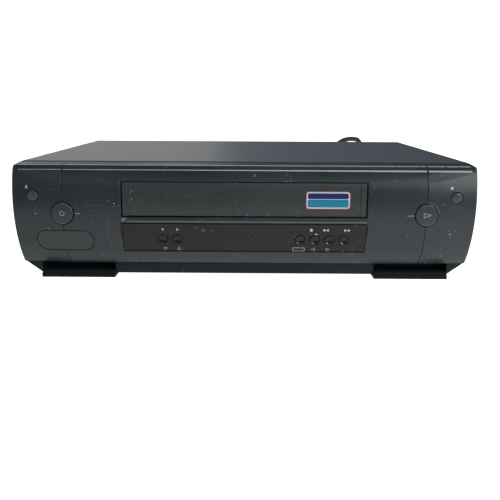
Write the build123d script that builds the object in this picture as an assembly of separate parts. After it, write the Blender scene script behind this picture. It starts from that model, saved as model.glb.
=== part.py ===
"""Front-loading video cassette recorder, in millimetres.

+X is the viewer's right, +Y runs from the front to the back and +Z is up. Each piece is made with
y = 0 at the top front edge of the front panel and z = 0 at the shelf under the feet. At the end the
whole machine moves along Y, so that the origin lies under the middle of the case.
"""

import os
from math import acos, asin, atan2, cos, degrees, hypot, pi, radians, sin, tan

from build123d import *

# ---------------------------------------------------------------- the case, front to back
WIDTH = 360.0                # front panel, end to end
PANEL_DEPTH = 18.0           # top front edge to the back edge of the panel
PANEL_WALL = 2.5
PANEL_LIP = 6.0              # lip of the panel that reaches in under the cover
COVER_DEPTH = 247.7          # steel cover, front edge to back edge
COVER_STEEL = 0.8
COVER_INSET = 0.6            # cover side, inside the end of the panel
COVER_GAP = 0.3              # cover to panel, and cover to what it slides over
CORNER_RADIUS = 2.5          # upper corners of the panel
COVER_CORNER = 1.5           # folded corners of the cover
REAR_STEEL = 1.8
REAR_INSET = 2.0             # rear panel, inside the back edge of the cover

# ---------------------------------------------------------------- the case, bottom to top
FOOT_HEIGHT = 3.0
TRAY_DROP = 9.8              # underside of the tray to the lower edge of the panel
LOWER_FACET = 9.5            # panel's lower facet
BASE_BAND = 2.4              # lower facet to the window
WINDOW_HEIGHT = 23.5
RAIL_HEIGHT = 4.8            # bar between the window and the cassette slot
SLOT_HEIGHT = 27.5
TOP_BAND = 7.8               # cassette slot to the panel's top front edge
BROW_RISE = 3.7              # top front edge to the crest of the brow
CREST_RISE = 1.6             # crest of the brow to the back of the panel
COVER_RISE = 0.4             # back of the panel to the top of the cover

Z_TRAY = FOOT_HEIGHT
Z_PANEL = Z_TRAY + TRAY_DROP
Z_FACET = Z_PANEL + LOWER_FACET
Z_WINDOW = Z_FACET + BASE_BAND
Z_RAIL = Z_WINDOW + WINDOW_HEIGHT
Z_SLOT = Z_RAIL + RAIL_HEIGHT
Z_BEZEL = Z_SLOT + SLOT_HEIGHT
Z_EDGE = Z_BEZEL + TOP_BAND
Z_BROW = Z_EDGE + BROW_RISE
Z_CREST = Z_BROW + CREST_RISE
HEIGHT = Z_CREST + COVER_RISE

# ---------------------------------------------------------------- the bulged front
FACET_DROP = 9.0             # height of the flat facet under the top front edge
FACET_FRONT = 4.2            # how far that facet's lower edge stands forward
BULGE = 6.2                  # furthest the middle of the front stands forward
BULGE_RISE = 3.3             # furthest point, over the cassette slot's lower edge
FACET_BACK = 1.0             # upper edge of the lower facet, behind the top front edge
PANEL_FOOT_BACK = 9.0        # lower edge of the panel, behind the top front edge
BROW_BACK = 3.0
END_WIDTH = 38.5             # tapered end of the panel
END_EDGE = 1.0               # what is left of the facets at the very end
END_BULGE = 4.7
END_BULGE_DROP = 30.0
END_FOOT_BACK = 11.5
END_FOOT_RISE = 0.25
SEAM = 0.6                   # groove between the middle and the ends

X_SIDE = WIDTH / 2
X_SEAM = X_SIDE - END_WIDTH
X_COVER = X_SIDE - COVER_INSET
X_INNER = X_COVER - COVER_STEEL - COVER_GAP
Y_COVER = PANEL_DEPTH + COVER_GAP
Y_BACK = Y_COVER + COVER_DEPTH
Y_REAR = Y_BACK - REAR_INSET
Y_REAR_IN = Y_REAR - REAR_STEEL
Y_LIP = PANEL_DEPTH + PANEL_LIP

# ---------------------------------------------------------------- slot, door, rail, window
OPENING_WIDTH = 191.4
DOOR_RECESS = 1.2
DOOR_WALL = 2.2
DOOR_SIDE_GAP = 1.1
DOOR_UNDER_GAP = 0.9
DOOR_OVER_GAP = 0.8
DOOR_END_STEP = 0.5          # raised ends of the door
DOOR_END_WIDTH = 4.0
HINGE_BACK = 5.0             # hinge axis, behind the top front edge
HINGE_DROP = 1.8             # hinge axis, under the top front edge
HINGE_EYE = 2.4
HINGE_PIN = 1.25
HINGE_RUN = 0.06             # radial clearance of a pin in its eye
HINGE_ARM = 2.5              # thickness of a door arm
HINGE_PIN_REACH = 5.0        # pin past the end of the door
RAIL_PROUD = 1.0
RAIL_ROUND = 1.5
WINDOW_RECESS = 0.3
WINDOW_WALL = 2.0
WINDOW_GAP = 0.15
WINDOW_FLANGE = 1.5          # rim that holds the window behind the panel
BADGE_WIDTH = 45.5
BADGE_HEIGHT = 16.5
BADGE_RISE = 8.5             # middle of the badge plate, over the window's lower edge
BADGE_DEPTH = 1.2
BADGE_GAP = 0.25

# ---------------------------------------------------------------- buttons
ROUND_CAP = 17.1             # power and play
ROUND_HOLE = 18.4
ROUND_RISE = 2.6             # their middle, over the cassette slot's lower edge
CORNER_CAP = 8.4             # eject and stop
CORNER_HOLE = 9.4
CORNER_INSET = 15.8          # their middle, in from the end of the panel
CORNER_DROP = 19.3           # their middle, under the top front edge
SMALL_CAP = 7.5              # the row in the window
SMALL_HOLE = 8.5
SMALL_RISE = 9.9             # their middle, over the window's lower edge
CHANNEL_X = -58.5
CHANNEL_PITCH = 11.4
FUNCTION_X = 61.35
FUNCTION_PITCH = 11.55
BUTTON_PROUD = 0.7
BUTTON_EDGE = 0.6
DISH_DEPTH = 0.9
BUTTON_TRAVEL = 1.0
BUTTON_FLANGE = 0.9          # rim behind the panel that keeps a button in
BUTTON_FLANGE_THICK = 1.0
BUTTON_FLANGE_GAP = 0.2
BUTTON_STEM = 3.0
BUTTON_REST = 0.3            # button to switch, over its travel
SWITCH_SIDE = 6.0
SWITCH_DEPTH = 3.6
SWITCH_TIP = 0.9
SWITCH_TIP_DIAMETER = 2.6

# ---------------------------------------------------------------- front board and display
FRONT_BOARD_BACK = 7.3       # front face of the board, behind the top front edge
BOARD_THICK = 1.6
FRONT_BOARD_INSET = 30.0     # long part of the board, inside the ends of the panel
FRONT_EAR_CLEAR = 10.3       # ears of the board, outside the cassette slot
FRONT_EAR_INSET = 8.0        # ears of the board, inside the ends of the panel
FRONT_BOARD_MARGIN = 1.0     # board inside the heights of the window
FRONT_EAR_TOP = 12.0         # ears end under the top front edge by this
FRONT_EAR_LOW = 35.0
FRONT_POST = 4.0
FRONT_POST_INSET = 27.0      # upper outer post, between the round button and the corner one
DISPLAY_WIDTH = 64.0
DISPLAY_HEIGHT = 14.0
DISPLAY_DEPTH = 6.0
DISPLAY_X = 6.0
DISPLAY_RISE = 13.0          # middle of the display, over the window's lower edge

# ---------------------------------------------------------------- tray and feet
TRAY_WALL = 2.5
TRAY_FRONT = 12.0
TRAY_FLOOR_INSET = 14.0      # edge of the tray's floor, inside the end of the panel
TRAY_SIDE_GAP = 0.1          # tray's shoulder, inside the side of the cover
TRAY_RIM = 9.2               # tray wall that stands up inside the cover
FOOT_WIDTH = 60.0            # front foot pad, in from the edge of the tray's floor
POCKET_RISE = 2.6            # pocket's floor over the underside of the tray
POCKET_DEPTH = 14.0
FOOT_BACK = 28.0             # front foot pad, behind the front of the tray
FOOT_NOSE = 4.0              # front foot pad, ahead of the front of the tray
FOOT_LIP = 0.6
FOOT_LIP_RISE = 2.5
FOOT_LIP_THICK = 3.6
FOOT_GAP = 0.2               # lip of a front foot, ahead of the tray
REAR_FOOT = 16.0
REAR_FOOT_INSET = 16.0       # middle of a rear foot, inside the edge of the tray's floor
REAR_FOOT_FROM_BACK = 19.0
FOOT_ROUND = 1.0

X_FLOOR = X_SIDE - TRAY_FLOOR_INSET
X_FOOT = X_FLOOR - FOOT_WIDTH

# ---------------------------------------------------------------- boards and power supply
BOARD_RISE = 4.5             # boards over the tray's floor
POST = 7.0
BOARD_OVERHANG = 1.0         # boards, past the edge of the tray's floor
MAIN_RIGHT = 98.0            # edge of the main board, beside the power board
BOARD_SPLIT = 4.0            # gap between the two boards
BOARD_FRONT = 30.0
BOARD_BACK_GAP = 3.5
POST_INSET = 7.0
CHIP_THICK = 3.5
MIDDLE_CHIPS = [(-40, 70, 34, 14), (20, 90, 30, 12), (30, 230, 34, 10)]
EDGE_CHIPS = [(25, 80, 26, 26), (29, 140, 20, 12)]          # in from the left edge of the main board
EDGE_CANS = [(9, 110, 8, 12)] + [(12 + 11 * step, 185, 6.5, 11) for step in range(4)]
POWER_CANS = [(16, 62, 16, 28), (18, 88, 10, 20)]           # in from the left edge of the power board
OUTPUT_CANS = [(11, 197, 12, 25), (11, 217, 12, 25)]        # in from its right edge
TRANSFORMER_OFF = 3.5        # right of the middle of the power board
TRANSFORMER_BACK = 120.0
CORE_WIDTH = 34.0
CORE_DEPTH = 13.0
CORE_HEIGHT = 30.0
CORE_RISE = 2.0
BOBBIN_WIDTH = 22.0
BOBBIN_DEPTH = 27.0
BOBBIN_HEIGHT = 24.0
SINK_IN = 20.0               # in from the left edge of the power board
SINK_BACK = 165.0
SINK_LENGTH = 44.0
SINK_HEIGHT = 34.0
SINK_PLATE = 2.5
SINK_FIN = 1.6
SINK_FINS = 6
SINK_REACH = 12.0

# ---------------------------------------------------------------- rear sockets
SOCKET_RISE = 22.0           # lower row of sockets, over the lower edge of the cover
TUNER_INSET = 48.0           # middle of the tuner, inside the end of the panel
TUNER_WIDTH = 46.0
TUNER_HEIGHT = 34.0
TUNER_DEPTH = 36.0
AERIAL_PITCH = 17.0
AERIAL_DIAMETER = 9.5
AERIAL_REACH = 10.0
AERIAL_NUT = 13.0
AERIAL_NUT_THICK = 2.0
AERIAL_BORE = 6.4
AERIAL_BORE_DEPTH = 6.0
AERIAL_CORE = 3.6
AERIAL_CORE_DROP = 1.0
SOCKET_GAP = 0.4             # hole in the rear panel, around a socket
JACK_X = -42.0
JACK_PITCH = 16.0
JACK_ROW = 18.0
JACK_DIAMETER = 8.3
JACK_STEM = 7.8              # collar behind the coloured ring
JACK_BORE = 6.4
JACK_PIN_HOLE = 3.2
JACK_REACH = 8.5
JACK_RING = 11.0
JACK_RING_THICK = 1.2
JACK_BLOCK_DEPTH = 14.0
JACK_BLOCK_MARGIN = 8.0

# ---------------------------------------------------------------- deck
DECK_RISE = 28.0
DECK_STEEL = 1.5
DECK_EDGE = 2.2              # deck plate, past the holder's brackets
DECK_FRONT = 38.0
DECK_BACK = 225.0
DECK_POST = 9.0
DECK_POST_INSET = 12.0       # inside the deck's edge
DECK_POST_FRONT = 48.0
DECK_POST_BACK = 212.0
DECK_GAP = 0.3
REEL_X = 46.0
REEL_BACK = 95.0
REEL_SPINDLE = 4.0
REEL_BASE = 38.0
REEL_BASE_RISE = 3.0
REEL_BASE_THICK = 3.5
REEL_HUB = 18.0
REEL_HUB_TOP = 19.0
REEL_FIN = 3.0
REEL_COLLAR = 24.0
REEL_COLLAR_THICK = 1.5
SHAFT_RUN = 0.05             # radial clearance of a bore on its shaft
DRUM_DIAMETER = 62.0
DRUM_BACK = 190.0
DRUM_TILT = 5.0
DRUM_LOWER = 14.0
DRUM_UPPER = 9.0
DRUM_GAP = 0.35
DRUM_SEAT = 5.0
DRUM_SHAFT = 6.0
DRUM_CAP = 3.0
DRUM_CAP_WIDTH = 37.0
DRUM_SEAT_WIDTH = 36.0
CAPSTAN_X = 56.0
CAPSTAN_BACK = 170.0
CAPSTAN_SHAFT = 3.0
CAPSTAN_TOP = 22.0
SLEEVE = 8.0                 # bearing sleeve in the deck
SLEEVE_DROP = 3.0
SLEEVE_RISE = 1.2
FLYWHEEL = 52.0
FLYWHEEL_THICK = 6.0
STATOR = 44.0
PINCH_X = 70.0
PINCH_BACK = 144.0
PINCH_ARM_LENGTH = 26.0
PINCH_ARM_THICK = 2.0
PINCH_ARM_WIDTH = 8.0
PINCH_PIVOT = 3.0
PINCH_ROLLER = 12.0
PINCH_ROLLER_TALL = 13.0
PINCH_ARM_RISE = 1.5
PINCH_BOSS = 2.0
PINCH_SWING = 24.0
PINCH_REST = 0.3             # roller to capstan when it is pressed
CLUTCH_BACK = 66.0
CLUTCH_DIAMETER = 24.0
CLUTCH_THICK = 5.0
BELT_WIDE = 1.4
BELT_TALL = 2.4
BELT_GAP = 0.3
DRIVE_DISC = 16.0
IDLER = 30.0                 # rubber-tyred wheel between the drive disc and the reels
IDLER_REST = 0.3             # wheel to disc and to reel
IDLER_PIN_HEAD = 7.0
IDLER_PIN_HEAD_THICK = 1.0
ARM_STEEL = 1.6
ARM_WIDTH = 8.0
GEAR_MODULE = 1.0
CAM_X = -80.0
CAM_BACK = 190.0
CAM_TEETH = 44
CAM_THICK = 5.0
CAM_RISE = 5.5
CAM_TRACK = 30.0
CAM_TRACK_WIDTH = 3.0
CAM_TRACK_DEPTH = 2.0
CAM_TRACK_OFF = 2.0
MOTOR_DIAMETER = 15.0
MOTOR_LENGTH = 20.0
MOTOR_SHAFT = 2.0
WORM_DIAMETER = 6.0
WORM_LENGTH = 14.0
CRADLE_INSET = 2.0
HEAD_WIDTH = 13.0
HEAD_DEPTH = 10.0
HEAD_TALL = 14.0
HEAD_RISE = 5.0
HEAD_POST = 7.0
AUDIO_HEAD = (78.0, 192.0, 35.0)
ERASE_HEAD = (-60.0, 164.0, -30.0)
GUIDE_X = 25.0
GUIDE_BACK = 146.0
GUIDE_IN_X = 42.0
GUIDE_IN_BACK = 174.0
GUIDE_POST = 3.6
GUIDE_FLANGE = 1.0
GUIDE_TALL = 19.0
GUIDE_SHOE = 9.0
GUIDE_SHOE_THICK = 3.0
GUIDE_SLOT = 4.6
GUIDE_TANG = 4.0

# ---------------------------------------------------------------- cassette holder
CASSETTE_WIDTH = 188.0
CASSETTE_THICK = 25.0
HOLDER_SIDE_GAP = 3.0        # the door swings up inside the holder's sides
HOLDER_STEEL = 1.0
HOLDER_SILL = 0.6            # ledge under the slot's lower edge
HOLDER_HEADROOM = 2.2
HOLDER_LEDGE = 18.0
HOLDER_FRONT = 10.0
HOLDER_DEPTH = 70.0
HOLDER_TOP_FRONT = 42.0
HOLDER_NOTCH = 10.0          # cut in the front edge of the roof
HOLDER_IN = 72.0
HOLDER_DOWN = 13.5
SLIDER_THICK = 1.5
SLIDER_GAP = 0.4
SLIDER_HEIGHT = 10.0
SLIDER_LENGTH = 56.0
BRACKET_STEEL = 1.5
BRACKET_PAST = 15.0          # bracket, past the sliders when the holder is in
BRACKET_WINDOW_MARGIN = 4.0

# ---------------------------------------------------------------- fasteners and vents
SCREW_SHANK = 3.0
SCREW_HEAD = 7.0
SCREW_HEAD_THICK = 1.7
SCREW_HEAD_ROUND = 0.9
CROSS_LENGTH = 3.5           # recess in a screw's head
CROSS_WIDTH = 0.9
CROSS_DEPTH = 0.7
SCREW_CLEARANCE = 0.3
SCREW_GRIP = 0.05
SCREW_LENGTH = 8.0
SCREW_RISE = 4.7             # screws over the lower edge of the cover
SIDE_SCREW_FRONT = 60.0
SIDE_SCREW_BACK = 230.0
REAR_SCREW_INSET = 22.0      # outer screws, inside the ends of the panel
REAR_SCREWS = (REAR_SCREW_INSET - X_SIDE, -82.0, 40.0, X_SIDE - REAR_SCREW_INSET)
VENTS = 12
VENT_WIDTH = 2.4
VENT_PITCH = 6.0
VENT_HEIGHT = 22.0
VENT_FRONT = 150.0
VENT_LOW = 40.0

# ---------------------------------------------------------------- mains lead
CORD = 5.6                   # width of the flat twin lead
RELIEF_X = 137.0
RELIEF_Z = 80.5
RELIEF_TILT = 25.0
RELIEF_LENGTH = 20.0
RELIEF_ROOT = 10.0
RELIEF_TIP = 7.6
RELIEF_FLANGE = 14.0
RELIEF_FLANGE_THICK = 2.0
RELIEF_NECK = 9.0
COIL_X = 40.0
COIL_BACK = 322.0
COIL_GAP = 0.6               # between turns and between layers
COIL_TURNS = 3               # turns in a layer
COIL_MEAN = 31.0             # mean radius
COIL_CLIMB_IN = 1.7          # how far the climbing half turn draws in
COIL_TAIL = 24.0             # straight end of the coil, into the plug
LEAD_START = 14.0            # first run of the lead, straight out of the strain relief
LEAD_END = 11.0              # last run of the lead, straight into the coil
PLUG_LENGTH = 26.0
PLUG_NOSE = 13.0
PLUG_NOSE_TIP = 7.4
PLUG_NOSE_ROOT = 12.5
PLUG_WIDTH = 25.0
PLUG_ROUND = 3.0
BLADE_PITCH = 12.7
BLADE_LENGTH = 17.5
BLADE_WIDTH = 6.35
BLADE_THICK = 1.5

CORD_ROUTE = [               # chosen by hand, between the strain relief and the coil
    (134.2, 309.4, 95.9),
    (128.6, 322.4, 93.0),
    (120.6, 333.0, 85.0),
    (114.0, 340.2, 71.8),
    (109.6, 344.8, 56.2),
    (106.0, 348.6, 40.8),
    (101.2, 351.6, 26.8),
    (93.6, 354.4, 15.0),
    (83.6, 357.4, 7.0),
    (72.0, 360.4, 3.4),
]

# ---------------------------------------------------------------- helpers


def block(x0, x1, y0, y1, z0, z1):
    """A square block between two corners."""
    return Pos((x0 + x1) / 2, (y0 + y1) / 2, (z0 + z1) / 2) * Box(x1 - x0, y1 - y0, z1 - z0)


def upright(x, y, z0, z1, diameter):
    """A round bar along Z."""
    return Pos(x, y, (z0 + z1) / 2) * Cylinder(diameter / 2, z1 - z0)


def along_y(x, z, y0, y1, diameter):
    """A round bar along Y."""
    return Pos(x, (y0 + y1) / 2, z) * Rot(X=90) * Cylinder(diameter / 2, y1 - y0)


def along_x(y, z, x0, x1, diameter):
    """A round bar along X."""
    return Pos((x0 + x1) / 2, y, z) * Rot(Y=90) * Cylinder(diameter / 2, x1 - x0)


def arch(half, low, high, radius, y0, y1):
    """A block through the case, square at its lower corners and rounded at its two upper ones."""
    face = Plane.XZ * Pos(0, (low + high) / 2) * Rectangle(2 * half, high - low)
    face = fillet(face.vertices().sort_by(Axis.Z)[-2:], radius)
    return extrude(Pos(0, y1, 0) * face, y1 - y0)


def prism_x(points, x0, x1):
    """An outline of (y, z) points, carried from x0 to x1."""
    face = Face(Wire.make_polygon([(x0, y, z) for y, z in points]))
    return extrude(face, x1 - x0, dir=(1, 0, 0))


def prism_y(points, y0, y1):
    """An outline of (x, z) points, carried from y0 to y1."""
    face = Face(Wire.make_polygon([(x, y0, z) for x, z in points]))
    return extrude(face, y1 - y0, dir=(0, 1, 0))


def both_sides(piece):
    """A piece and its mirror image on the other side of the machine."""
    return piece + mirror(piece, Plane.YZ)


def gear(teeth, thick, bore):
    """A spur gear on the origin, with straight-flanked teeth of the common module."""
    pitch = teeth * GEAR_MODULE / 2
    root, tip = pitch - 1.15 * GEAR_MODULE, pitch + 0.9 * GEAR_MODULE
    step = 2 * pi / teeth
    points = []
    for tooth in range(teeth):
        middle = tooth * step
        for radius, offset in ((root, -0.30), (tip, -0.12), (tip, 0.12), (root, 0.30)):
            angle = middle + offset * step
            points.append((radius * cos(angle), radius * sin(angle)))
    body = extrude(make_face(Polyline(*points, close=True)), thick)
    return body - Pos(0, 0, thick / 2) * Cylinder(bore / 2, thick)


# ---------------------------------------------------------------- front panel


def section(x, edge, upper, bulge, lower, foot):
    """The panel's closed outline at one x, from (y, z) points: all straight but the bulge."""
    points = [Vector(x, y, z) for y, z in (edge, upper, bulge, lower, foot)]
    back = [Vector(x, PANEL_DEPTH, Z_PANEL), Vector(x, PANEL_DEPTH, Z_CREST), Vector(x, BROW_BACK, Z_BROW)]
    loop = [points[3], points[4], *back, points[0], points[1]]
    lines = [Edge.make_line(a, b) for a, b in zip(loop, loop[1:])]
    return Wire([Edge.make_three_point_arc(points[1], points[2], points[3]), *lines])


def front_form():
    """The solid that the front panel is cut from."""
    middle = [
        (0, Z_EDGE),
        (-FACET_FRONT, Z_EDGE - FACET_DROP),
        (-BULGE, Z_SLOT + BULGE_RISE),
        (FACET_BACK, Z_FACET),
        (PANEL_FOOT_BACK, Z_PANEL),
    ]
    end = [
        (0, Z_EDGE),
        (-END_EDGE / 5, Z_EDGE - END_EDGE),
        (-END_BULGE, Z_EDGE - END_BULGE_DROP),
        (END_FOOT_BACK - END_FOOT_RISE, Z_PANEL + END_FOOT_RISE),
        (END_FOOT_BACK, Z_PANEL),
    ]
    places = [(-X_SIDE, end), (-X_SEAM, middle), (X_SEAM, middle), (X_SIDE, end)]
    form = Solid.make_loft([section(x, *points) for x, points in places], ruled=True)
    return form & arch(X_SIDE, Z_PANEL, HEIGHT, CORNER_RADIUS, -2 * BULGE, PANEL_DEPTH)


FORM = front_form()


def skin(recess, wall, x0, x1, z0, z1):
    """A sheet that follows the front, behind its surface by recess."""
    room = block(x0, x1, -4 * BULGE, PANEL_DEPTH - wall, z0, z1)
    return (Pos(0, recess, 0) * FORM & room) - Pos(0, recess + wall, 0) * FORM


def front_depth(x, z):
    """How far back the surface of the front lies at one place."""
    line = Edge.make_line((x, -4 * BULGE, z), (x, PANEL_DEPTH - PANEL_WALL, z))
    inside = FORM & line
    return min(vertex.Y for vertex in inside.vertices())


def panel_cavity():
    """The hollow of the front panel."""
    low, high = Z_PANEL + PANEL_WALL, Z_BROW - PANEL_WALL
    room = arch(X_SIDE - PANEL_WALL, low, high, CORNER_RADIUS / 2, -BULGE, Y_LIP)
    behind = block(-X_SIDE, X_SIDE, PANEL_DEPTH - PANEL_WALL, Y_LIP, 0, HEIGHT)
    return (Pos(0, PANEL_WALL, 0) * FORM + behind) & room


def panel_lip():
    """The lip that the cover slides over."""
    radius = COVER_CORNER - COVER_STEEL
    top = HEIGHT - COVER_STEEL - COVER_GAP
    y0 = PANEL_DEPTH - PANEL_WALL
    outside = arch(X_INNER, Z_PANEL + PANEL_WALL, top, radius, y0, Y_LIP)
    half, rim = X_SIDE - PANEL_WALL / 2, Z_CREST - PANEL_WALL / 2
    outside += arch(half, Z_PANEL + PANEL_WALL, rim, radius, y0, PANEL_DEPTH)
    inside = arch(X_INNER - PANEL_WALL, Z_PANEL, Z_BROW - PANEL_WALL, radius / 2, y0, Y_LIP)
    return outside - inside


def rail():
    """The rounded bar between the window and the cassette slot."""
    half = OPENING_WIDTH / 2
    front = front_depth(0, (Z_RAIL + Z_SLOT) / 2) - RAIL_PROUD
    bar = block(-half - 1, half + 1, front, front + RAIL_PROUD + PANEL_WALL, Z_RAIL, Z_SLOT)
    edges = bar.edges().filter_by(Axis.X).sort_by(Axis.Y)[:2]
    bar = fillet(edges, RAIL_ROUND)
    return bar & block(-half, half, -4 * BULGE, PANEL_DEPTH, Z_RAIL, Z_SLOT)


def buttons():
    """Name, x, z, cap diameter, hole diameter and kind of each button."""
    z_round, z_corner, z_small = Z_SLOT + ROUND_RISE, Z_EDGE - CORNER_DROP, Z_WINDOW + SMALL_RISE
    x_corner = X_SIDE - CORNER_INSET
    rows = [
        ("power_button", -X_SEAM, z_round, ROUND_CAP, ROUND_HOLE, "flat"),
        ("play_button", X_SEAM, z_round, ROUND_CAP, ROUND_HOLE, "flat"),
        ("eject_button", -x_corner, z_corner, CORNER_CAP, CORNER_HOLE, "domed"),
        ("stop_button", x_corner, z_corner, CORNER_CAP, CORNER_HOLE, "domed"),
    ]
    small = [("channel_down_button", CHANNEL_X - CHANNEL_PITCH / 2)]
    small.append(("channel_up_button", CHANNEL_X + CHANNEL_PITCH / 2))
    for place, name in enumerate(("menu_button", "record_button", "rewind_button", "fast_forward_button")):
        small.append((name, FUNCTION_X + (place - 1.5) * FUNCTION_PITCH))
    return rows + [(name, x, z_small, SMALL_CAP, SMALL_HOLE, "dished") for name, x in small]


def front_ears():
    """Inner and outer edge of the front board's right ear."""
    return OPENING_WIDTH / 2 + FRONT_EAR_CLEAR, X_SIDE - FRONT_EAR_INSET


def front_posts():
    """Places of the posts that carry the front board, as (x, z)."""
    low = Z_WINDOW - FRONT_BOARD_MARGIN
    high = Z_EDGE - FRONT_EAR_TOP - FRONT_POST
    x0, x1 = front_ears()
    inner, outer = x0 + FRONT_POST, x1 - FRONT_POST
    places = [(inner, high), (X_SIDE - FRONT_POST_INSET, high)]
    places += [(outer, FRONT_EAR_LOW + FRONT_POST), (inner, low + FRONT_POST)]
    return places + [(-x, z) for x, z in places]


def hinge():
    """The door's hinge axis, as (y, z)."""
    return HINGE_BACK, Z_EDGE - HINGE_DROP


def front_panel():
    """The moulded front, with the slot, the window, the button holes and the posts behind it."""
    half = OPENING_WIDTH / 2
    panel = FORM - panel_cavity() + panel_lip()
    for x in (-X_SEAM, X_SEAM):
        panel -= skin(-PANEL_WALL, PANEL_WALL + SEAM, x - SEAM / 2, x + SEAM / 2, 0, HEIGHT)
    panel -= block(-half, half, -2 * BULGE, PANEL_DEPTH - PANEL_WALL, Z_WINDOW, Z_RAIL)
    panel -= block(-half, half, -2 * BULGE, PANEL_DEPTH - PANEL_WALL, Z_SLOT, Z_BEZEL)
    panel += rail()
    for name, x, z, cap, hole, kind in buttons():
        if kind != "dished":
            panel -= along_y(x, z, -2 * BULGE, PANEL_DEPTH - PANEL_WALL, hole)
    panel -= badge_form(BADGE_GAP, -2 * BULGE)
    for x, z in front_posts():
        panel += along_y(x, z, -BULGE, FRONT_BOARD_BACK, FRONT_POST) & FORM
    y, z = hinge()
    ear = HINGE_EYE + 1
    cheek = block(half + HINGE_ARM / 2, half + HINGE_ARM + 1, 0, y + ear, z - ear, Z_BROW) & FORM
    cheek -= along_x(y, z, half, half + 2 * HINGE_ARM, 2 * (HINGE_PIN + HINGE_RUN))
    return panel + both_sides(cheek)


def badge_form(gap, front):
    """The pill-shaped plate's outline, carried back from front through the panel's skin."""
    high, wide = BADGE_HEIGHT + 2 * gap, BADGE_WIDTH + 2 * gap
    middle = Z_WINDOW + BADGE_RISE
    pill = Plane.XZ * Pos(-X_SEAM, middle) * SlotOverall(wide, high)
    bar = extrude(Pos(0, PANEL_DEPTH - PANEL_WALL, 0) * pill, PANEL_DEPTH - PANEL_WALL - front)
    depth = BADGE_DEPTH + (0 if gap else -BADGE_GAP)
    return bar - Pos(0, depth, 0) * FORM


def badge_plate():
    """The bare inlaid plate under the power button."""
    return badge_form(0, -2 * BULGE) & FORM


def display_window():
    """The dark window, with the holes for its row of buttons."""
    half = OPENING_WIDTH / 2 - WINDOW_GAP
    low, high = Z_WINDOW + WINDOW_GAP, Z_RAIL - WINDOW_GAP
    window = skin(WINDOW_RECESS, WINDOW_WALL + PANEL_WALL, -half, half, low, high)
    rim = WINDOW_FLANGE
    outer = skin(PANEL_WALL + WINDOW_GAP, rim, -half - rim, half + rim, low - rim, high + rim)
    window += outer
    hollow = half - WINDOW_WALL
    z0, z1 = low + WINDOW_WALL, high - WINDOW_WALL
    window -= skin(WINDOW_RECESS + WINDOW_WALL, PANEL_WALL + 2 * rim, -hollow, hollow, z0, z1)
    for name, x, z, cap, hole, kind in buttons():
        if kind == "dished":
            window -= along_y(x, z, -2 * BULGE, PANEL_DEPTH, hole)
    return window


def button_tip():
    """Where a button's stem ends at rest, clear of its switch over the whole travel."""
    return FRONT_BOARD_BACK - SWITCH_DEPTH - SWITCH_TIP - BUTTON_TRAVEL - BUTTON_REST


def button(x, z, cap, hole, kind):
    """One button: its cap, the flange behind the wall that it comes through, and its stem."""
    reach = hole / 2 + BUTTON_FLANGE
    wall = WINDOW_RECESS + WINDOW_WALL if kind == "dished" else PANEL_WALL
    around = [(x - reach, z), (x + reach, z), (x, z - reach), (x, z + reach)]
    flange = max(front_depth(*place) for place in around) + wall + BUTTON_FLANGE_GAP
    tip = button_tip()
    flange_back = min(flange + BUTTON_FLANGE_THICK, tip)
    front = front_depth(x, z) - BUTTON_PROUD
    body = along_y(x, z, front, flange, cap)
    body = fillet(body.edges().filter_by(GeomType.CIRCLE).sort_by(Axis.Y)[0], BUTTON_EDGE)
    if kind == "domed":
        body &= Pos(x, front + 2 * cap, z) * Sphere(2 * cap)
    if kind == "dished":
        body -= Pos(x, front + DISH_DEPTH - cap, z) * Sphere(cap)
    body += along_y(x, z, flange, flange_back, 2 * reach)
    if flange_back < tip:
        body += along_y(x, z, flange_back, tip, BUTTON_STEM)
    return body


def cassette_door():
    """The hinged door of the cassette slot, with its arms and pins."""
    half = OPENING_WIDTH / 2 - DOOR_SIDE_GAP
    low, high = Z_SLOT + DOOR_UNDER_GAP, Z_BEZEL - DOOR_OVER_GAP
    door = skin(DOOR_RECESS, DOOR_WALL, -half, half, low, high)
    inner = half - DOOR_END_WIDTH
    door += both_sides(skin(DOOR_RECESS - DOOR_END_STEP, DOOR_WALL, inner, half, low, high))
    y, z = hinge()
    front = front_depth(0, high - HINGE_EYE) + DOOR_RECESS + DOOR_WALL - HINGE_RUN
    outline = [(front, high), (front, high - 2 * HINGE_EYE), (y + HINGE_EYE, z), (y - HINGE_EYE, z)]
    arm = prism_x(outline, half - HINGE_ARM, half) + along_x(y, z, half - HINGE_ARM, half, 2 * HINGE_EYE)
    arm += along_x(y, z, half - HINGE_ARM, half + HINGE_PIN_REACH - DOOR_SIDE_GAP, 2 * HINGE_PIN)
    return door + both_sides(arm)


# ---------------------------------------------------------------- cover, tray, rear panel, feet


def top_cover():
    """The folded steel cover, with vents in its sides and holes for its screws."""
    cover = arch(X_COVER, Z_PANEL + COVER_GAP, HEIGHT, COVER_CORNER, Y_COVER, Y_BACK)
    radius = COVER_CORNER - COVER_STEEL
    cover -= arch(X_COVER - COVER_STEEL, 0, HEIGHT - COVER_STEEL, radius, Y_COVER - 1, Y_BACK + 1)
    for slot in range(VENTS):
        y = VENT_FRONT + slot * VENT_PITCH
        cover -= block(-X_SIDE, X_SIDE, y, y + VENT_WIDTH, VENT_LOW, VENT_LOW + VENT_HEIGHT)
    for y in (SIDE_SCREW_FRONT, SIDE_SCREW_BACK):
        hole = SCREW_SHANK + 2 * SCREW_CLEARANCE
        cover -= along_x(y, Z_PANEL + SCREW_RISE, -X_SIDE, X_SIDE, hole)
    return cover


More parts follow.
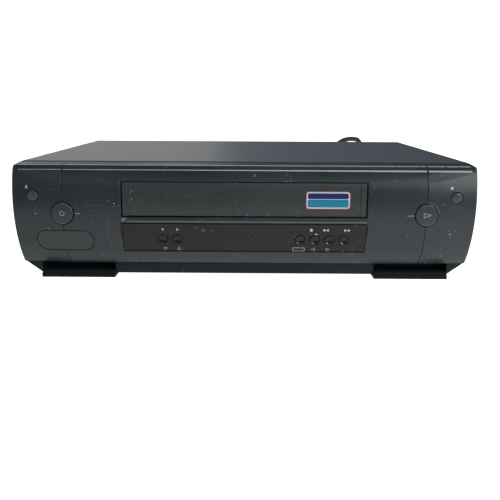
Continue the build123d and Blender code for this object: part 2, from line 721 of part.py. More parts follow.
def tray_outline(wall):
    """The tray's (x, z) outline, drawn in by a wall."""
    shoulder = X_COVER - TRAY_SIDE_GAP
    low, rim = Z_TRAY + wall, Z_PANEL + TRAY_RIM + wall
    right = [(X_FLOOR - wall / 2, low)]
    if wall:
        right.append((X_INNER - wall, Z_PANEL + wall / 2))
    else:
        right += [(shoulder, Z_PANEL), (X_INNER, Z_PANEL)]
    right.append((X_INNER - wall, rim))
    return right + [(-x, z) for x, z in reversed(right)]


def board_sides():
    """Left and right edges of the main board and of the power board."""
    edge = X_FLOOR + BOARD_OVERHANG
    return (-edge, MAIN_RIGHT), (MAIN_RIGHT + BOARD_SPLIT, edge)


def board_posts():
    """Places of the posts under the two boards, as (x, y)."""
    front, back = BOARD_FRONT + POST_INSET, Y_REAR_IN - BOARD_BACK_GAP - POST_INSET
    middle = (front + back) / 2
    (left, main_right), (power_left, right) = board_sides()
    left += POST_INSET
    columns = [left, main_right - POST_INSET, power_left + POST_INSET, right - POST_INSET]
    places = [(x, y) for x in columns for y in (front, back)]
    return places + [(left, middle), (0, back)]


def deck_posts():
    """Places of the deck's posts, as (x, y)."""
    half = deck_half() - DECK_POST_INSET
    return [(x, y) for x in (-half, half) for y in (DECK_POST_FRONT, DECK_POST_BACK)]


def pocket(grow):
    """The recess over each front foot, grown by a wall."""
    z0 = Z_TRAY + POCKET_RISE - grow
    x0, x1 = X_FOOT - grow, X_FLOOR + grow
    return block(x0, x1, TRAY_FRONT - 1, TRAY_FRONT + POCKET_DEPTH + grow, z0, Z_PANEL + grow)


def base_tray():
    """The moulded tray that carries the boards, the deck and the feet."""
    outside = prism_y(tray_outline(0), TRAY_FRONT, Y_REAR_IN)
    inside = prism_y(tray_outline(TRAY_WALL), TRAY_FRONT + TRAY_WALL, Y_REAR_IN - TRAY_WALL)
    tray = outside - inside
    tray += both_sides(pocket(TRAY_WALL)) & outside
    tray -= both_sides(pocket(0))
    tray -= block(-X_SIDE, X_SIDE, 0, Y_LIP + COVER_GAP, Z_PANEL, HEIGHT)
    floor = Z_TRAY + TRAY_WALL
    for x, y in board_posts():
        tray += upright(x, y, floor - 1, floor + BOARD_RISE, POST)
    for x, y in deck_posts():
        tray += upright(x, y, floor - 1, DECK_RISE, DECK_POST)
    for x0, x1 in (tuner_sides(), jack_block_size()[0]):
        notch = block(x0 - SOCKET_GAP, x1 + SOCKET_GAP, 0, 2 * TRAY_WALL, board_level(), HEIGHT)
        tray -= Pos(0, Y_REAR_IN - 2 * TRAY_WALL, 0) * notch
    for screw in screw_places():
        tray -= screw_hole(screw, SCREW_SHANK + 2 * SCREW_GRIP)
    return tray


def screw_places():
    """Each case screw: the middle of its head's seat and the way it points."""
    z = Z_PANEL + SCREW_RISE
    places = []
    for y in (SIDE_SCREW_FRONT, SIDE_SCREW_BACK):
        places += [((X_COVER, y, z), (-1, 0, 0)), ((-X_COVER, y, z), (1, 0, 0))]
    for x in REAR_SCREWS:
        places.append(((x, Y_REAR, z), (0, -1, 0)))
    return places


def screw_hole(screw, diameter):
    """The round hole that one case screw goes through."""
    seat, way = screw
    plane = Plane(origin=seat, z_dir=way)
    return plane * Pos(0, 0, SCREW_LENGTH / 2) * Cylinder(diameter / 2, 2 * SCREW_LENGTH)


def case_screw(screw):
    """One pan-head screw."""
    seat, way = screw
    plane = Plane(origin=seat, z_dir=way)
    head = Pos(0, 0, -SCREW_HEAD_THICK / 2) * Cylinder(SCREW_HEAD / 2, SCREW_HEAD_THICK)
    rim = head.edges().filter_by(GeomType.CIRCLE).sort_by(Axis.Z)[0]
    head = fillet(rim, SCREW_HEAD_ROUND)
    for turn in (0, 90):
        head -= Rot(Z=turn) * Pos(0, 0, -SCREW_HEAD_THICK) * Box(CROSS_LENGTH, CROSS_WIDTH, 2 * CROSS_DEPTH)
    shank = Pos(0, 0, SCREW_LENGTH / 2) * Cylinder(SCREW_SHANK / 2, SCREW_LENGTH)
    return plane * (head + shank)


def case_screws():
    """The screws of the cover and of the rear panel."""
    return [case_screw(screw) for screw in screw_places()]


def front_feet():
    """The L-shaped pads under the front."""
    y0, y1 = TRAY_FRONT - FOOT_NOSE, TRAY_FRONT + FOOT_BACK
    pad = block(X_FOOT, X_FLOOR, y0, y1, 0, FOOT_HEIGHT)
    edges = pad.edges().filter_by(Axis.Z)
    pad = fillet(edges, FOOT_ROUND)
    y2 = min(y0 + FOOT_LIP_THICK, TRAY_FRONT - FOOT_GAP)
    lip = block(X_FOOT + FOOT_LIP, X_FLOOR - FOOT_LIP, y0 + FOOT_LIP, y2, 1, FOOT_HEIGHT + FOOT_LIP_RISE)
    pad += lip
    return [pad, mirror(pad, Plane.YZ)]


def rear_feet():
    """The round rubber pads under the back."""
    y = Y_REAR - REAR_FOOT_FROM_BACK
    pad = upright(X_FLOOR - REAR_FOOT_INSET, y, 0, FOOT_HEIGHT, REAR_FOOT)
    pad = fillet(pad.edges().filter_by(GeomType.CIRCLE).sort_by(Axis.Z)[0], FOOT_ROUND)
    return [pad, mirror(pad, Plane.YZ)]


def aerials():
    """Places of the two aerial sockets, as (x, z)."""
    z = Z_PANEL + SOCKET_RISE
    x = sum(tuner_sides()) / 2
    return [(x - AERIAL_PITCH / 2, z), (x + AERIAL_PITCH / 2, z)]


def jacks():
    """Place and colour of each phono socket, as (x, z, colour)."""
    columns = [(-JACK_PITCH, "yellow"), (0, "white"), (JACK_PITCH, "red")]
    rows = [Z_PANEL + SOCKET_RISE, Z_PANEL + SOCKET_RISE + JACK_ROW]
    return [(JACK_X + x, z, colour) for x, colour in columns for z in rows]


def rear_panel():
    """The flat steel rear panel, with its holes."""
    low, high = Z_PANEL + COVER_GAP, HEIGHT - COVER_STEEL - COVER_GAP
    plate = arch(X_INNER, low, high, COVER_CORNER - COVER_STEEL, Y_REAR_IN, Y_REAR)
    for x, z in aerials():
        plate -= along_y(x, z, Y_REAR_IN, Y_REAR, AERIAL_DIAMETER + 2 * SOCKET_GAP)
    for x, z, colour in jacks():
        plate -= along_y(x, z, Y_REAR_IN, Y_REAR, JACK_DIAMETER + 2 * SOCKET_GAP)
    plate -= along_y(RELIEF_X, RELIEF_Z, Y_REAR_IN, Y_REAR, RELIEF_NECK + 2 * SCREW_GRIP)
    for screw in screw_places():
        plate -= screw_hole(screw, SCREW_SHANK + 2 * SCREW_CLEARANCE)
    return plate


# ---------------------------------------------------------------- front board


def front_board():
    """The board behind the window and the buttons."""
    low, high = Z_WINDOW - FRONT_BOARD_MARGIN, Z_RAIL - FRONT_BOARD_MARGIN
    y0, y1 = FRONT_BOARD_BACK, FRONT_BOARD_BACK + BOARD_THICK
    half = X_SIDE - FRONT_BOARD_INSET
    board = block(-half, half, y0, y1, low, high)
    x0, x1 = front_ears()
    ear = block(x0, x1, y0, y1, FRONT_EAR_LOW, Z_EDGE - FRONT_EAR_TOP)
    return board + both_sides(ear)


def switch_front():
    """Where the switches' tips stand."""
    return FRONT_BOARD_BACK - SWITCH_DEPTH - SWITCH_TIP


def tact_switches():
    """One small switch on the board behind each button."""
    switches = []
    half = SWITCH_SIDE / 2
    y0 = FRONT_BOARD_BACK - SWITCH_DEPTH
    for name, x, z, *sizes in buttons():
        body = block(x - half, x + half, y0, FRONT_BOARD_BACK, z - half, z + half)
        switches.append(body + along_y(x, z, switch_front(), y0, SWITCH_TIP_DIAMETER))
    return switches


def display_tube():
    """The flat glass display behind the window."""
    z = Z_WINDOW + DISPLAY_RISE
    x0, x1 = DISPLAY_X - DISPLAY_WIDTH / 2, DISPLAY_X + DISPLAY_WIDTH / 2
    z0, z1 = z - DISPLAY_HEIGHT / 2, z + DISPLAY_HEIGHT / 2
    y0 = FRONT_BOARD_BACK - DISPLAY_DEPTH
    glass = block(x0, x1, y0, FRONT_BOARD_BACK, z0, z1)
    return chamfer(glass.faces().sort_by(Axis.Y)[0].edges(), 0.5)


# ---------------------------------------------------------------- boards inside


def board_level():
    """Underside of the main board and the power board."""
    return Z_TRAY + TRAY_WALL + BOARD_RISE


def main_board():
    """The main board, with clearance for the deck's posts."""
    y1 = Y_REAR_IN - BOARD_BACK_GAP
    x0, x1 = board_sides()[0]
    board = block(x0, x1, BOARD_FRONT, y1, board_level(), board_level() + BOARD_THICK)
    for x, y in deck_posts():
        board -= upright(x, y, 0, DECK_RISE, DECK_POST + 2 * DECK_GAP)
    return board


def power_board():
    """The power supply's board."""
    y1 = Y_REAR_IN - BOARD_BACK_GAP
    x0, x1 = board_sides()[1]
    return block(x0, x1, BOARD_FRONT, y1, board_level(), board_level() + BOARD_THICK)


def board_components():
    """Chips, electrolytic cans and the mains fuse, on the two boards."""
    z = board_level() + BOARD_THICK
    (left, main_right), (power_left, right) = board_sides()
    pieces = []
    for x, y, wide, deep in MIDDLE_CHIPS + [(left + x, *rest) for x, *rest in EDGE_CHIPS]:
        chip = block(x - wide / 2, x + wide / 2, y - deep / 2, y + deep / 2, z, z + CHIP_THICK)
        pieces.append(chamfer(chip.faces().sort_by(Axis.Z)[-1].edges(), 0.6))
    cans = [(left + x, *rest) for x, *rest in EDGE_CANS]
    cans += [(power_left + x, *rest) for x, *rest in POWER_CANS]
    cans += [(right - x, *rest) for x, *rest in OUTPUT_CANS]
    for x, y, wide, tall in cans:
        can = upright(x, y, z, z + tall, wide)
        pieces.append(fillet(can.edges().filter_by(GeomType.CIRCLE).sort_by(Axis.Z)[-1], 0.8))
    return pieces


def power_transformer():
    """The ferrite core and its wound bobbin."""
    z, y = board_level() + BOARD_THICK, TRANSFORMER_BACK
    x = sum(board_sides()[1]) / 2 + TRANSFORMER_OFF
    core = Pos(x, y, z + (CORE_RISE + CORE_HEIGHT) / 2) * Box(CORE_WIDTH, CORE_DEPTH, CORE_HEIGHT - CORE_RISE)
    return core + Pos(x, y, z + BOBBIN_HEIGHT / 2) * Box(BOBBIN_WIDTH, BOBBIN_DEPTH, BOBBIN_HEIGHT)


def heat_sink():
    """The finned aluminium heat sink."""
    z = board_level() + BOARD_THICK
    y0, y1 = SINK_BACK - SINK_LENGTH / 2, SINK_BACK + SINK_LENGTH / 2
    x = board_sides()[1][0] + SINK_IN
    sink = block(x, x + SINK_PLATE, y0, y1, z, z + SINK_HEIGHT)
    pitch = (SINK_LENGTH - SINK_FIN) / (SINK_FINS - 1)
    for fin in range(SINK_FINS):
        y = y0 + fin * pitch
        sink += block(x + SINK_PLATE / 2, x + SINK_REACH, y, y + SINK_FIN, z, z + SINK_HEIGHT)
    return sink


def tuner_sides():
    """The two sides of the tuner's case, along X."""
    middle = TUNER_INSET - X_SIDE
    return middle - TUNER_WIDTH / 2, middle + TUNER_WIDTH / 2


def tuner_module():
    """The screened tuner, with its two aerial sockets through the rear panel."""
    z0 = board_level() + BOARD_THICK
    x0, x1 = tuner_sides()
    tuner = block(x0, x1, Y_REAR_IN - TUNER_DEPTH, Y_REAR_IN, z0, z0 + TUNER_HEIGHT)
    for x, z in aerials():
        socket = along_y(x, z, Y_REAR_IN - 1, Y_REAR + AERIAL_REACH, AERIAL_DIAMETER)
        nut = extrude(RegularPolygon(AERIAL_NUT / 2, 6), AERIAL_NUT_THICK)
        nut = Pos(x, Y_REAR + AERIAL_NUT_THICK, z) * Rot(X=90) * nut
        end = Y_REAR + AERIAL_REACH
        tuner += socket + nut
        tuner -= along_y(x, z, end - AERIAL_BORE_DEPTH, end, AERIAL_BORE)
        tuner += along_y(x, z, end - AERIAL_BORE_DEPTH - 1, end - AERIAL_CORE_DROP, AERIAL_CORE)
    return tuner


def jack_block_size():
    """Lowest and highest corners of the phono sockets' block."""
    xs, zs = [x for x, z, c in jacks()], [z for x, z, c in jacks()]
    m = JACK_BLOCK_MARGIN
    return (min(xs) - m, max(xs) + m), (board_level() + BOARD_THICK, max(zs) + m)


def av_jack_block():
    """The moulded block that holds the phono sockets, on the main board."""
    (x0, x1), (z0, z1) = jack_block_size()
    body = block(x0, x1, Y_REAR_IN - JACK_BLOCK_DEPTH, Y_REAR_IN, z0, z1)
    for x, z, colour in jacks():
        body -= along_y(x, z, Y_REAR_IN - JACK_BLOCK_DEPTH / 2, Y_REAR_IN, JACK_STEM + 2 * SCREW_GRIP)
    return body


def jack_collars():
    """The metal collars of the phono sockets."""
    y0, y1 = Y_REAR_IN - JACK_BLOCK_DEPTH / 2, Y_REAR + JACK_REACH
    collars = []
    for x, z, colour in jacks():
        ring_face = Y_REAR + JACK_RING_THICK
        collar = along_y(x, z, y0, ring_face, JACK_STEM) + along_y(x, z, ring_face, y1, JACK_DIAMETER)
        collar -= along_y(x, z, y0 + 2, y1, JACK_BORE)
        collars.append(collar)
    return collars


def jack_rings(wanted):
    """The coloured insulators of one colour: a core in the collar and a ring round it."""
    y0, y1 = Y_REAR_IN - JACK_BLOCK_DEPTH / 2 + 2, Y_REAR + JACK_REACH - 0.8
    rings = []
    for x, z, colour in jacks():
        if colour == wanted:
            core = along_y(x, z, y0, y1, JACK_BORE) - along_y(x, z, y0 + 3, y1, JACK_PIN_HOLE)
            ring = along_y(x, z, Y_REAR, Y_REAR + JACK_RING_THICK, JACK_RING)
            ring -= along_y(x, z, Y_REAR, Y_REAR + JACK_RING_THICK, JACK_STEM)
            rings += [core, ring]
    return rings


# ---------------------------------------------------------------- deck


def deck_half():
    """Half the width of the deck plate, which carries the holder's brackets near its edges."""
    return bracket_in() + BRACKET_STEEL + DECK_EDGE


def deck_top():
    """Upper face of the deck plate."""
    return DECK_RISE + DECK_STEEL


def guide_way(side):
    """Start and travel of a guide's shoe along its slot, for side -1 or 1."""
    start = Vector(side * GUIDE_X, GUIDE_BACK, 0)
    end = Vector(side * GUIDE_IN_X, GUIDE_IN_BACK, 0)
    return start, end - start


def guide_slot(side):
    """The slot of one guide, carried through the deck."""
    start, way = guide_way(side)
    angle = degrees(asin(way.X / way.length))
    middle = start + way * 0.5
    slot = extrude(SlotOverall(way.length + 2 * GUIDE_TANG, GUIDE_SLOT, rotation=90), 2 * DECK_STEEL, both=True)
    return Pos(middle.X, middle.Y, deck_top()) * Rot(Z=-angle) * slot


def deck_shafts():
    """The fixed spindles on the deck, as (x, y, top, diameter)."""
    top = deck_top()
    reel_top = top + REEL_HUB_TOP - DECK_STEEL
    arm_top = top + PINCH_ARM_RISE + PINCH_ARM_THICK + PINCH_BOSS + DECK_STEEL
    return [
        (-REEL_X, REEL_BACK, reel_top, REEL_SPINDLE),
        (REEL_X, REEL_BACK, reel_top, REEL_SPINDLE),
        (CAM_X, CAM_BACK, top + CAM_RISE + CAM_THICK + DECK_STEEL, REEL_SPINDLE),
        (PINCH_X, PINCH_BACK, arm_top, PINCH_PIVOT),
    ]


def deck_plate():
    """The steel deck, with its spindles, bearing sleeves and slots."""
    top = deck_top()
    deck = block(-deck_half(), deck_half(), DECK_FRONT, DECK_BACK, DECK_RISE, top)
    for side in (-1, 1):
        deck -= guide_slot(side)
    sleeves = [(CAPSTAN_X, CAPSTAN_BACK, SLEEVE_RISE, CAPSTAN_SHAFT), (0, CLUTCH_BACK, 0, REEL_SPINDLE)]
    for x, y, rise, shaft in sleeves:
        deck += upright(x, y, DECK_RISE - SLEEVE_DROP, top + rise, SLEEVE)
        deck -= upright(x, y, 0, HEIGHT, shaft + 2 * SHAFT_RUN)
    for x, y, shaft_top, diameter in deck_shafts():
        deck += upright(x, y, DECK_RISE, shaft_top, diameter)
    return deck


def reel(x):
    """A reel table: rim, collar and splined hub."""
    top, y = deck_top(), REEL_BACK
    base = top + REEL_BASE_RISE
    body = upright(x, y, base, base + REEL_BASE_THICK, REEL_BASE)
    body += upright(x, y, top + DECK_GAP, top + REEL_HUB_TOP, REEL_HUB / 2)
    body += upright(x, y, base, base + REEL_BASE_THICK + REEL_COLLAR_THICK, REEL_COLLAR)
    tall = REEL_HUB_TOP - REEL_BASE_RISE
    for turn in (0, 120, 240):
        fin = Rot(Z=turn) * Pos(REEL_HUB / 4, 0, tall / 2) * Box(REEL_HUB / 2, REEL_FIN, tall)
        body += Pos(x, y, base) * fin
    return body - upright(x, y, top, top + REEL_HUB_TOP, REEL_SPINDLE + 2 * SHAFT_RUN)


def drum_axis():
    """The head drum's tilted frame, with its origin over the deck."""
    return Pos(0, DRUM_BACK, deck_top() + DRUM_SEAT) * Rot(X=DRUM_TILT)


def lower_drum():
    """The fixed lower drum, its seat on the deck and the drum's shaft."""
    frame = drum_axis()
    body = frame * Pos(0, 0, DRUM_LOWER / 2) * Cylinder(DRUM_DIAMETER / 2, DRUM_LOWER)
    seat = upright(0, DRUM_BACK, deck_top(), deck_top() + DRUM_SEAT + DRUM_LOWER / 2, DRUM_SEAT_WIDTH)
    shaft_top = DRUM_LOWER + DRUM_GAP + DRUM_UPPER + DRUM_CAP / 2
    return body + seat + frame * Pos(0, 0, shaft_top / 2) * Cylinder(DRUM_SHAFT / 2, shaft_top)


def upper_drum():
    """The spinning upper drum, with its rotor cap."""
    base = DRUM_LOWER + DRUM_GAP
    disc = Pos(0, 0, base + DRUM_UPPER / 2) * Cylinder(DRUM_DIAMETER / 2, DRUM_UPPER)
    disc = fillet(disc.edges().filter_by(GeomType.CIRCLE).sort_by(Axis.Z)[-1], 1.0)
    disc += Pos(0, 0, base + DRUM_UPPER + DRUM_CAP / 2) * Cylinder(DRUM_CAP_WIDTH / 2, DRUM_CAP)
    tall = base + DRUM_UPPER + DRUM_CAP / 2 + DRUM_GAP
    disc -= Pos(0, 0, tall / 2) * Cylinder(DRUM_SHAFT / 2 + SHAFT_RUN, tall)
    return drum_axis() * disc


def flywheel_top():
    """Upper face of the capstan's flywheel."""
    return DECK_RISE - SLEEVE_DROP - DECK_GAP


def belt_level():
    """Height of the belt's middle."""
    return flywheel_top() - FLYWHEEL_THICK / 2


def belt_groove(x, y, diameter):
    """The groove that the belt runs in, round a pulley."""
    half = BELT_TALL / 2 + BELT_GAP
    groove = upright(x, y, belt_level() - half, belt_level() + half, diameter + BELT_WIDE)
    return groove - upright(x, y, 0, HEIGHT, diameter - 2 * BELT_WIDE)


def capstan_flywheel():
    """The flywheel under the deck and the capstan shaft that stands up through it."""
    x, y, top = CAPSTAN_X, CAPSTAN_BACK, flywheel_top()
    wheel = upright(x, y, top - FLYWHEEL_THICK, top, FLYWHEEL)
    wheel = wheel - belt_groove(x, y, FLYWHEEL)
    return wheel + upright(x, y, top - FLYWHEEL_THICK, deck_top() + CAPSTAN_TOP, CAPSTAN_SHAFT)


def capstan_motor():
    """The stator under the flywheel, on the main board."""
    z1 = flywheel_top() - FLYWHEEL_THICK - DECK_GAP
    return upright(CAPSTAN_X, CAPSTAN_BACK, board_level() + BOARD_THICK, z1, STATOR)


def drive_level():
    """Underside of the reels' rims, the drive disc and the idler wheel."""
    return deck_top() + REEL_BASE_RISE


def clutch_pulley():
    """The clutch: belt pulley under the deck, its shaft, and the drive disc over the deck."""
    x, y, half = 0, CLUTCH_BACK, CLUTCH_THICK / 2
    body = upright(x, y, belt_level() - half, belt_level() + half, CLUTCH_DIAMETER)
    body = body - belt_groove(x, y, CLUTCH_DIAMETER)
    disc = drive_level()
    body += upright(x, y, belt_level() - half, arm_level() + ARM_STEEL + DECK_GAP, REEL_SPINDLE)
    body += upright(x, y, deck_top() + DECK_GAP, disc, SLEEVE)
    return body + upright(x, y, disc, disc + REEL_BASE_THICK, DRIVE_DISC)


def belt_outline(grow):
    """The belt's closed outline: two arcs round the pulleys and two straight runs."""
    seat = BELT_GAP - BELT_WIDE + grow
    r0, r1 = CLUTCH_DIAMETER / 2 + seat, FLYWHEEL / 2 + seat
    c0, c1 = Vector(0, CLUTCH_BACK), Vector(CAPSTAN_X, CAPSTAN_BACK)
    way = c1 - c0
    lean = asin((r1 - r0) / way.length)
    along = way.normalized()
    across = Vector(-along.Y, along.X)
    left = across * cos(lean) - along * sin(lean)
    right = across * -cos(lean) - along * sin(lean)
    edges = [
        Edge.make_line(c0 + left * r0, c1 + left * r1),
        Edge.make_three_point_arc(c1 + left * r1, c1 + along * r1, c1 + right * r1),
        Edge.make_line(c1 + right * r1, c0 + right * r0),
        Edge.make_three_point_arc(c0 + right * r0, c0 - along * r0, c0 + left * r0),
    ]
    return Face(Wire(edges))


def drive_belt():
    """The belt from the flywheel to the clutch."""
    low = Pos(0, 0, belt_level() - BELT_TALL / 2)
    outside = extrude(low * belt_outline(BELT_WIDE), BELT_TALL, dir=(0, 0, 1))
    return outside - extrude(low * belt_outline(0), BELT_TALL, dir=(0, 0, 1))


def idler_reach():
    """Distance from the clutch's axis to the idler's."""
    return DRIVE_DISC / 2 + IDLER / 2 + IDLER_REST


def idler_swing():
    """How far the idler swings, each way, from between the reels to a reel's rim, in degrees."""
    side, back = REEL_X, REEL_BACK - CLUTCH_BACK
    far, reach = hypot(side, back), idler_reach()
    touch = REEL_BASE / 2 + IDLER / 2 + IDLER_REST
    corner = acos((reach**2 + far**2 - touch**2) / (2 * reach * far))
    return degrees(atan2(side, back) - corner)


def arm_level():
    """Underside of the idler's arm."""
    return drive_level() + REEL_BASE_THICK + DECK_GAP


def idler_wheel():
    """The rubber-tyred idler wheel that swings between the two reels."""
    x, y, z = 0, CLUTCH_BACK + idler_reach(), drive_level()
    wheel = upright(x, y, z, z + REEL_BASE_THICK, IDLER)
    return wheel - upright(x, y, z, z + REEL_BASE_THICK, REEL_SPINDLE + 2 * SHAFT_RUN)


def bar(x0, y0, x1, y1, width, z0, z1):
    """A flat lever with round ends between two axes."""
    way = Vector(x1 - x0, y1 - y0)
    flat = extrude(SlotCenterToCenter(way.length, width), z1 - z0)
    return Pos((x0 + x1) / 2, (y0 + y1) / 2, z0) * Rot(Z=degrees(atan2(way.Y, way.X))) * flat


def idler_arm():
    """The arm that swings on the clutch's shaft, with the idler's headed pin."""
    y, low = CLUTCH_BACK + idler_reach(), arm_level()
    arm = bar(0, CLUTCH_BACK, 0, y, ARM_WIDTH, low, low + ARM_STEEL)
    arm -= upright(0, CLUTCH_BACK, low, low + ARM_STEEL, REEL_SPINDLE + 2 * SHAFT_RUN)
    under = drive_level() - DECK_GAP
    arm += upright(0, y, under, low, REEL_SPINDLE)
    return arm + upright(0, y, under - IDLER_PIN_HEAD_THICK, under, IDLER_PIN_HEAD)


def pinch_angle():
    """Direction of the pinch arm at rest, in radians from +X."""
    x, y = CAPSTAN_X - PINCH_X, CAPSTAN_BACK - PINCH_BACK
    far, arm = hypot(x, y), PINCH_ARM_LENGTH
    touch = PINCH_ROLLER / 2 + CAPSTAN_SHAFT / 2 + PINCH_REST
    corner = acos((arm**2 + far**2 - touch**2) / (2 * arm * far))
    return atan2(y, x) + corner + radians(PINCH_SWING)


def pinch_tip():
    """The pinch roller's axis at rest, as (x, y)."""
    turn = pinch_angle()
    return PINCH_X + PINCH_ARM_LENGTH * cos(turn), PINCH_BACK + PINCH_ARM_LENGTH * sin(turn)


def pinch_arm():
    """The lever that presses the pinch roller on the capstan."""
    x, y = pinch_tip()
    z0 = deck_top() + PINCH_ARM_RISE
    z1 = z0 + PINCH_ARM_THICK
    arm = bar(PINCH_X, PINCH_BACK, x, y, PINCH_ARM_WIDTH, z0, z1)
    arm += upright(PINCH_X, PINCH_BACK, deck_top() + DECK_GAP, z1 + PINCH_BOSS, PINCH_ARM_WIDTH)
    arm -= upright(PINCH_X, PINCH_BACK, 0, HEIGHT, PINCH_PIVOT + 2 * SHAFT_RUN)
    return arm + upright(x, y, z0, z1 + PINCH_ROLLER_TALL + PINCH_BOSS, PINCH_PIVOT)


def pinch_roller():
    """The rubber roller on the arm."""
    x, y = pinch_tip()
    z0 = deck_top() + PINCH_ARM_RISE + PINCH_ARM_THICK + DECK_GAP
    roller = upright(x, y, z0, z0 + PINCH_ROLLER_TALL, PINCH_ROLLER)
    return roller - upright(x, y, z0, z0 + PINCH_ROLLER_TALL, PINCH_PIVOT + 2 * SHAFT_RUN)


def cam_gear():
    """The loading cam: a gear with a cam track in its face."""
    z0 = deck_top() + CAM_RISE
    bore = REEL_SPINDLE + 2 * SHAFT_RUN
    body = Pos(CAM_X, CAM_BACK, z0) * gear(CAM_TEETH, CAM_THICK, bore)
    z1 = z0 + CAM_THICK
    ring = upright(CAM_X + CAM_TRACK_OFF, CAM_BACK, z1 - CAM_TRACK_DEPTH, z1, CAM_TRACK)
    ring -= upright(CAM_X + CAM_TRACK_OFF, CAM_BACK, z0, z1, CAM_TRACK - 2 * CAM_TRACK_WIDTH)
    boss = upright(CAM_X, CAM_BACK, deck_top() + DECK_GAP, z0, 2 * REEL_SPINDLE)
    boss -= upright(CAM_X, CAM_BACK, 0, HEIGHT, bore)
    return body - ring + boss


def loading_motor():
    """The loading motor in its cradle on the deck, with its worm behind the cam."""
    reach = CAM_TEETH * GEAR_MODULE / 2 + GEAR_MODULE + DECK_GAP
    y, z = CAM_BACK + reach + WORM_DIAMETER / 2, deck_top() + CAM_RISE + CAM_THICK / 2
    x, half = CAM_X + WORM_LENGTH / 2, MOTOR_DIAMETER / 2
    start = max(x + MOTOR_SHAFT, CAM_X + (reach**2 - (y - half - CAM_BACK) ** 2) ** 0.5)
    end = start + MOTOR_LENGTH
    worm = along_x(y, z, CAM_X - WORM_LENGTH / 2, x, WORM_DIAMETER)
    shaft = along_x(y, z, x - MOTOR_SHAFT, start + MOTOR_SHAFT, MOTOR_SHAFT)
    cradle = block(start + CRADLE_INSET, end - CRADLE_INSET, y - half, y + half, deck_top(), z)
    return worm + shaft + along_x(y, z, start, end, MOTOR_DIAMETER) + cradle


def loading_guide(side):
    """A tape guide post on the shoe that slides along its slot in the deck."""
    start, way = guide_way(side)
    x, y, top = start.X, start.Y, deck_top() + DECK_GAP
    shoe = upright(x, y, top, top + GUIDE_SHOE_THICK, GUIDE_SHOE)
    tang = upright(x, y, DECK_RISE - DECK_STEEL, top, GUIDE_TANG)
    post = upright(x, y, top, top + GUIDE_TALL, GUIDE_POST)
    guide = shoe + tang + post
    for z in (top + GUIDE_SHOE_THICK, top + GUIDE_TALL - GUIDE_FLANGE):
        guide += upright(x, y, z, z + GUIDE_FLANGE, GUIDE_POST + 2 * GUIDE_FLANGE)
    return guide


def tape_heads():
    """The audio and control head and the erase head, each on its post."""
    heads = []
    for x, y, turn in (AUDIO_HEAD, ERASE_HEAD):
        z0 = deck_top() + HEAD_RISE
        head = Pos(x, y, z0 + HEAD_TALL / 2) * Rot(Z=turn) * Box(HEAD_WIDTH, HEAD_DEPTH, HEAD_TALL)
        head = fillet(head.edges().filter_by(Axis.Z), 2.0)
        heads.append(head + upright(x, y, deck_top(), z0, HEAD_POST))
    return heads


# ---------------------------------------------------------------- cassette holder


def holder_half():
    """Inner face of the holder's side."""
    return CASSETTE_WIDTH / 2 + HOLDER_SIDE_GAP


def holder_level():
    """Upper face of the holder's ledges."""
    return Z_SLOT - HOLDER_SILL


def holder_top():
    """Underside of the holder's roof."""
    return holder_level() + CASSETTE_THICK + HOLDER_HEADROOM


def cassette_holder():
    """The folded carrier that the cassette is pushed into."""
    half, steel = holder_half(), HOLDER_STEEL
    low, high = holder_level() - steel, holder_top() + steel
    y0, y1 = HOLDER_FRONT, HOLDER_FRONT + HOLDER_DEPTH
    side = block(half, half + steel, y0, y1, low, high)
    side += block(half - HOLDER_LEDGE, half + steel, y0, y1, low, low + steel)
    side += block(half - 2 * steel, half + steel, y1 - steel, y1, low, high)
    roof = block(-half - steel, half + steel, HOLDER_TOP_FRONT, y1, high - steel, high)
    notch = HOLDER_TOP_FRONT + HOLDER_NOTCH
    roof -= block(-half / 2, half / 2, HOLDER_TOP_FRONT - 1, notch, high - 2 * steel, high + 1)
    return both_sides(side) + roof


def slider_low():
    """Lower edge of the sliders."""
    return holder_level() + CASSETTE_THICK / 2


def slider_ends():
    """Front and back end of the sliders."""
    front = HOLDER_FRONT + (HOLDER_DEPTH - SLIDER_LENGTH) / 2
    return front, front + SLIDER_LENGTH


def holder_sliders():
    """The two side sliders that carry the holder back and let it down."""
    x0 = holder_half() + HOLDER_STEEL + SLIDER_GAP
    y0, y1 = slider_ends()
    z0 = slider_low()
    plate = block(x0, x0 + SLIDER_THICK, y0, y1, z0, z0 + SLIDER_HEIGHT)
    return [plate, mirror(plate, Plane.YZ)]


def bracket_in():
    """Inner face of the right bracket."""
    return holder_half() + HOLDER_STEEL + 2 * SLIDER_GAP + SLIDER_THICK


def holder_brackets():
    """The steel brackets that stand on the deck and guide the sliders."""
    x0 = bracket_in()
    x1 = x0 + BRACKET_STEEL
    y1 = slider_ends()[1] + HOLDER_IN + BRACKET_PAST
    plate = block(x0, x1, DECK_FRONT, y1, deck_top(), Z_BEZEL)
    foot = block(x0, deck_half(), DECK_FRONT, y1, deck_top(), deck_top() + BRACKET_STEEL)
    m = BRACKET_WINDOW_MARGIN
    z0 = slider_low() - HOLDER_DOWN
    plate -= block(x0 - 1, x1 + 1, DECK_FRONT + 3 * m, y1 - 3 * m, deck_top() + 2 * m, z0)
    plate += foot
    return [plate, mirror(plate, Plane.YZ)]


# ---------------------------------------------------------------- mains lead


def relief_axis():
    """The strain relief's tilted frame, with its origin in the rear panel's face."""
    way = (0, cos(radians(RELIEF_TILT)), sin(radians(RELIEF_TILT)))
    return Plane(origin=(RELIEF_X, Y_REAR, RELIEF_Z), x_dir=(1, 0, 0), z_dir=way)


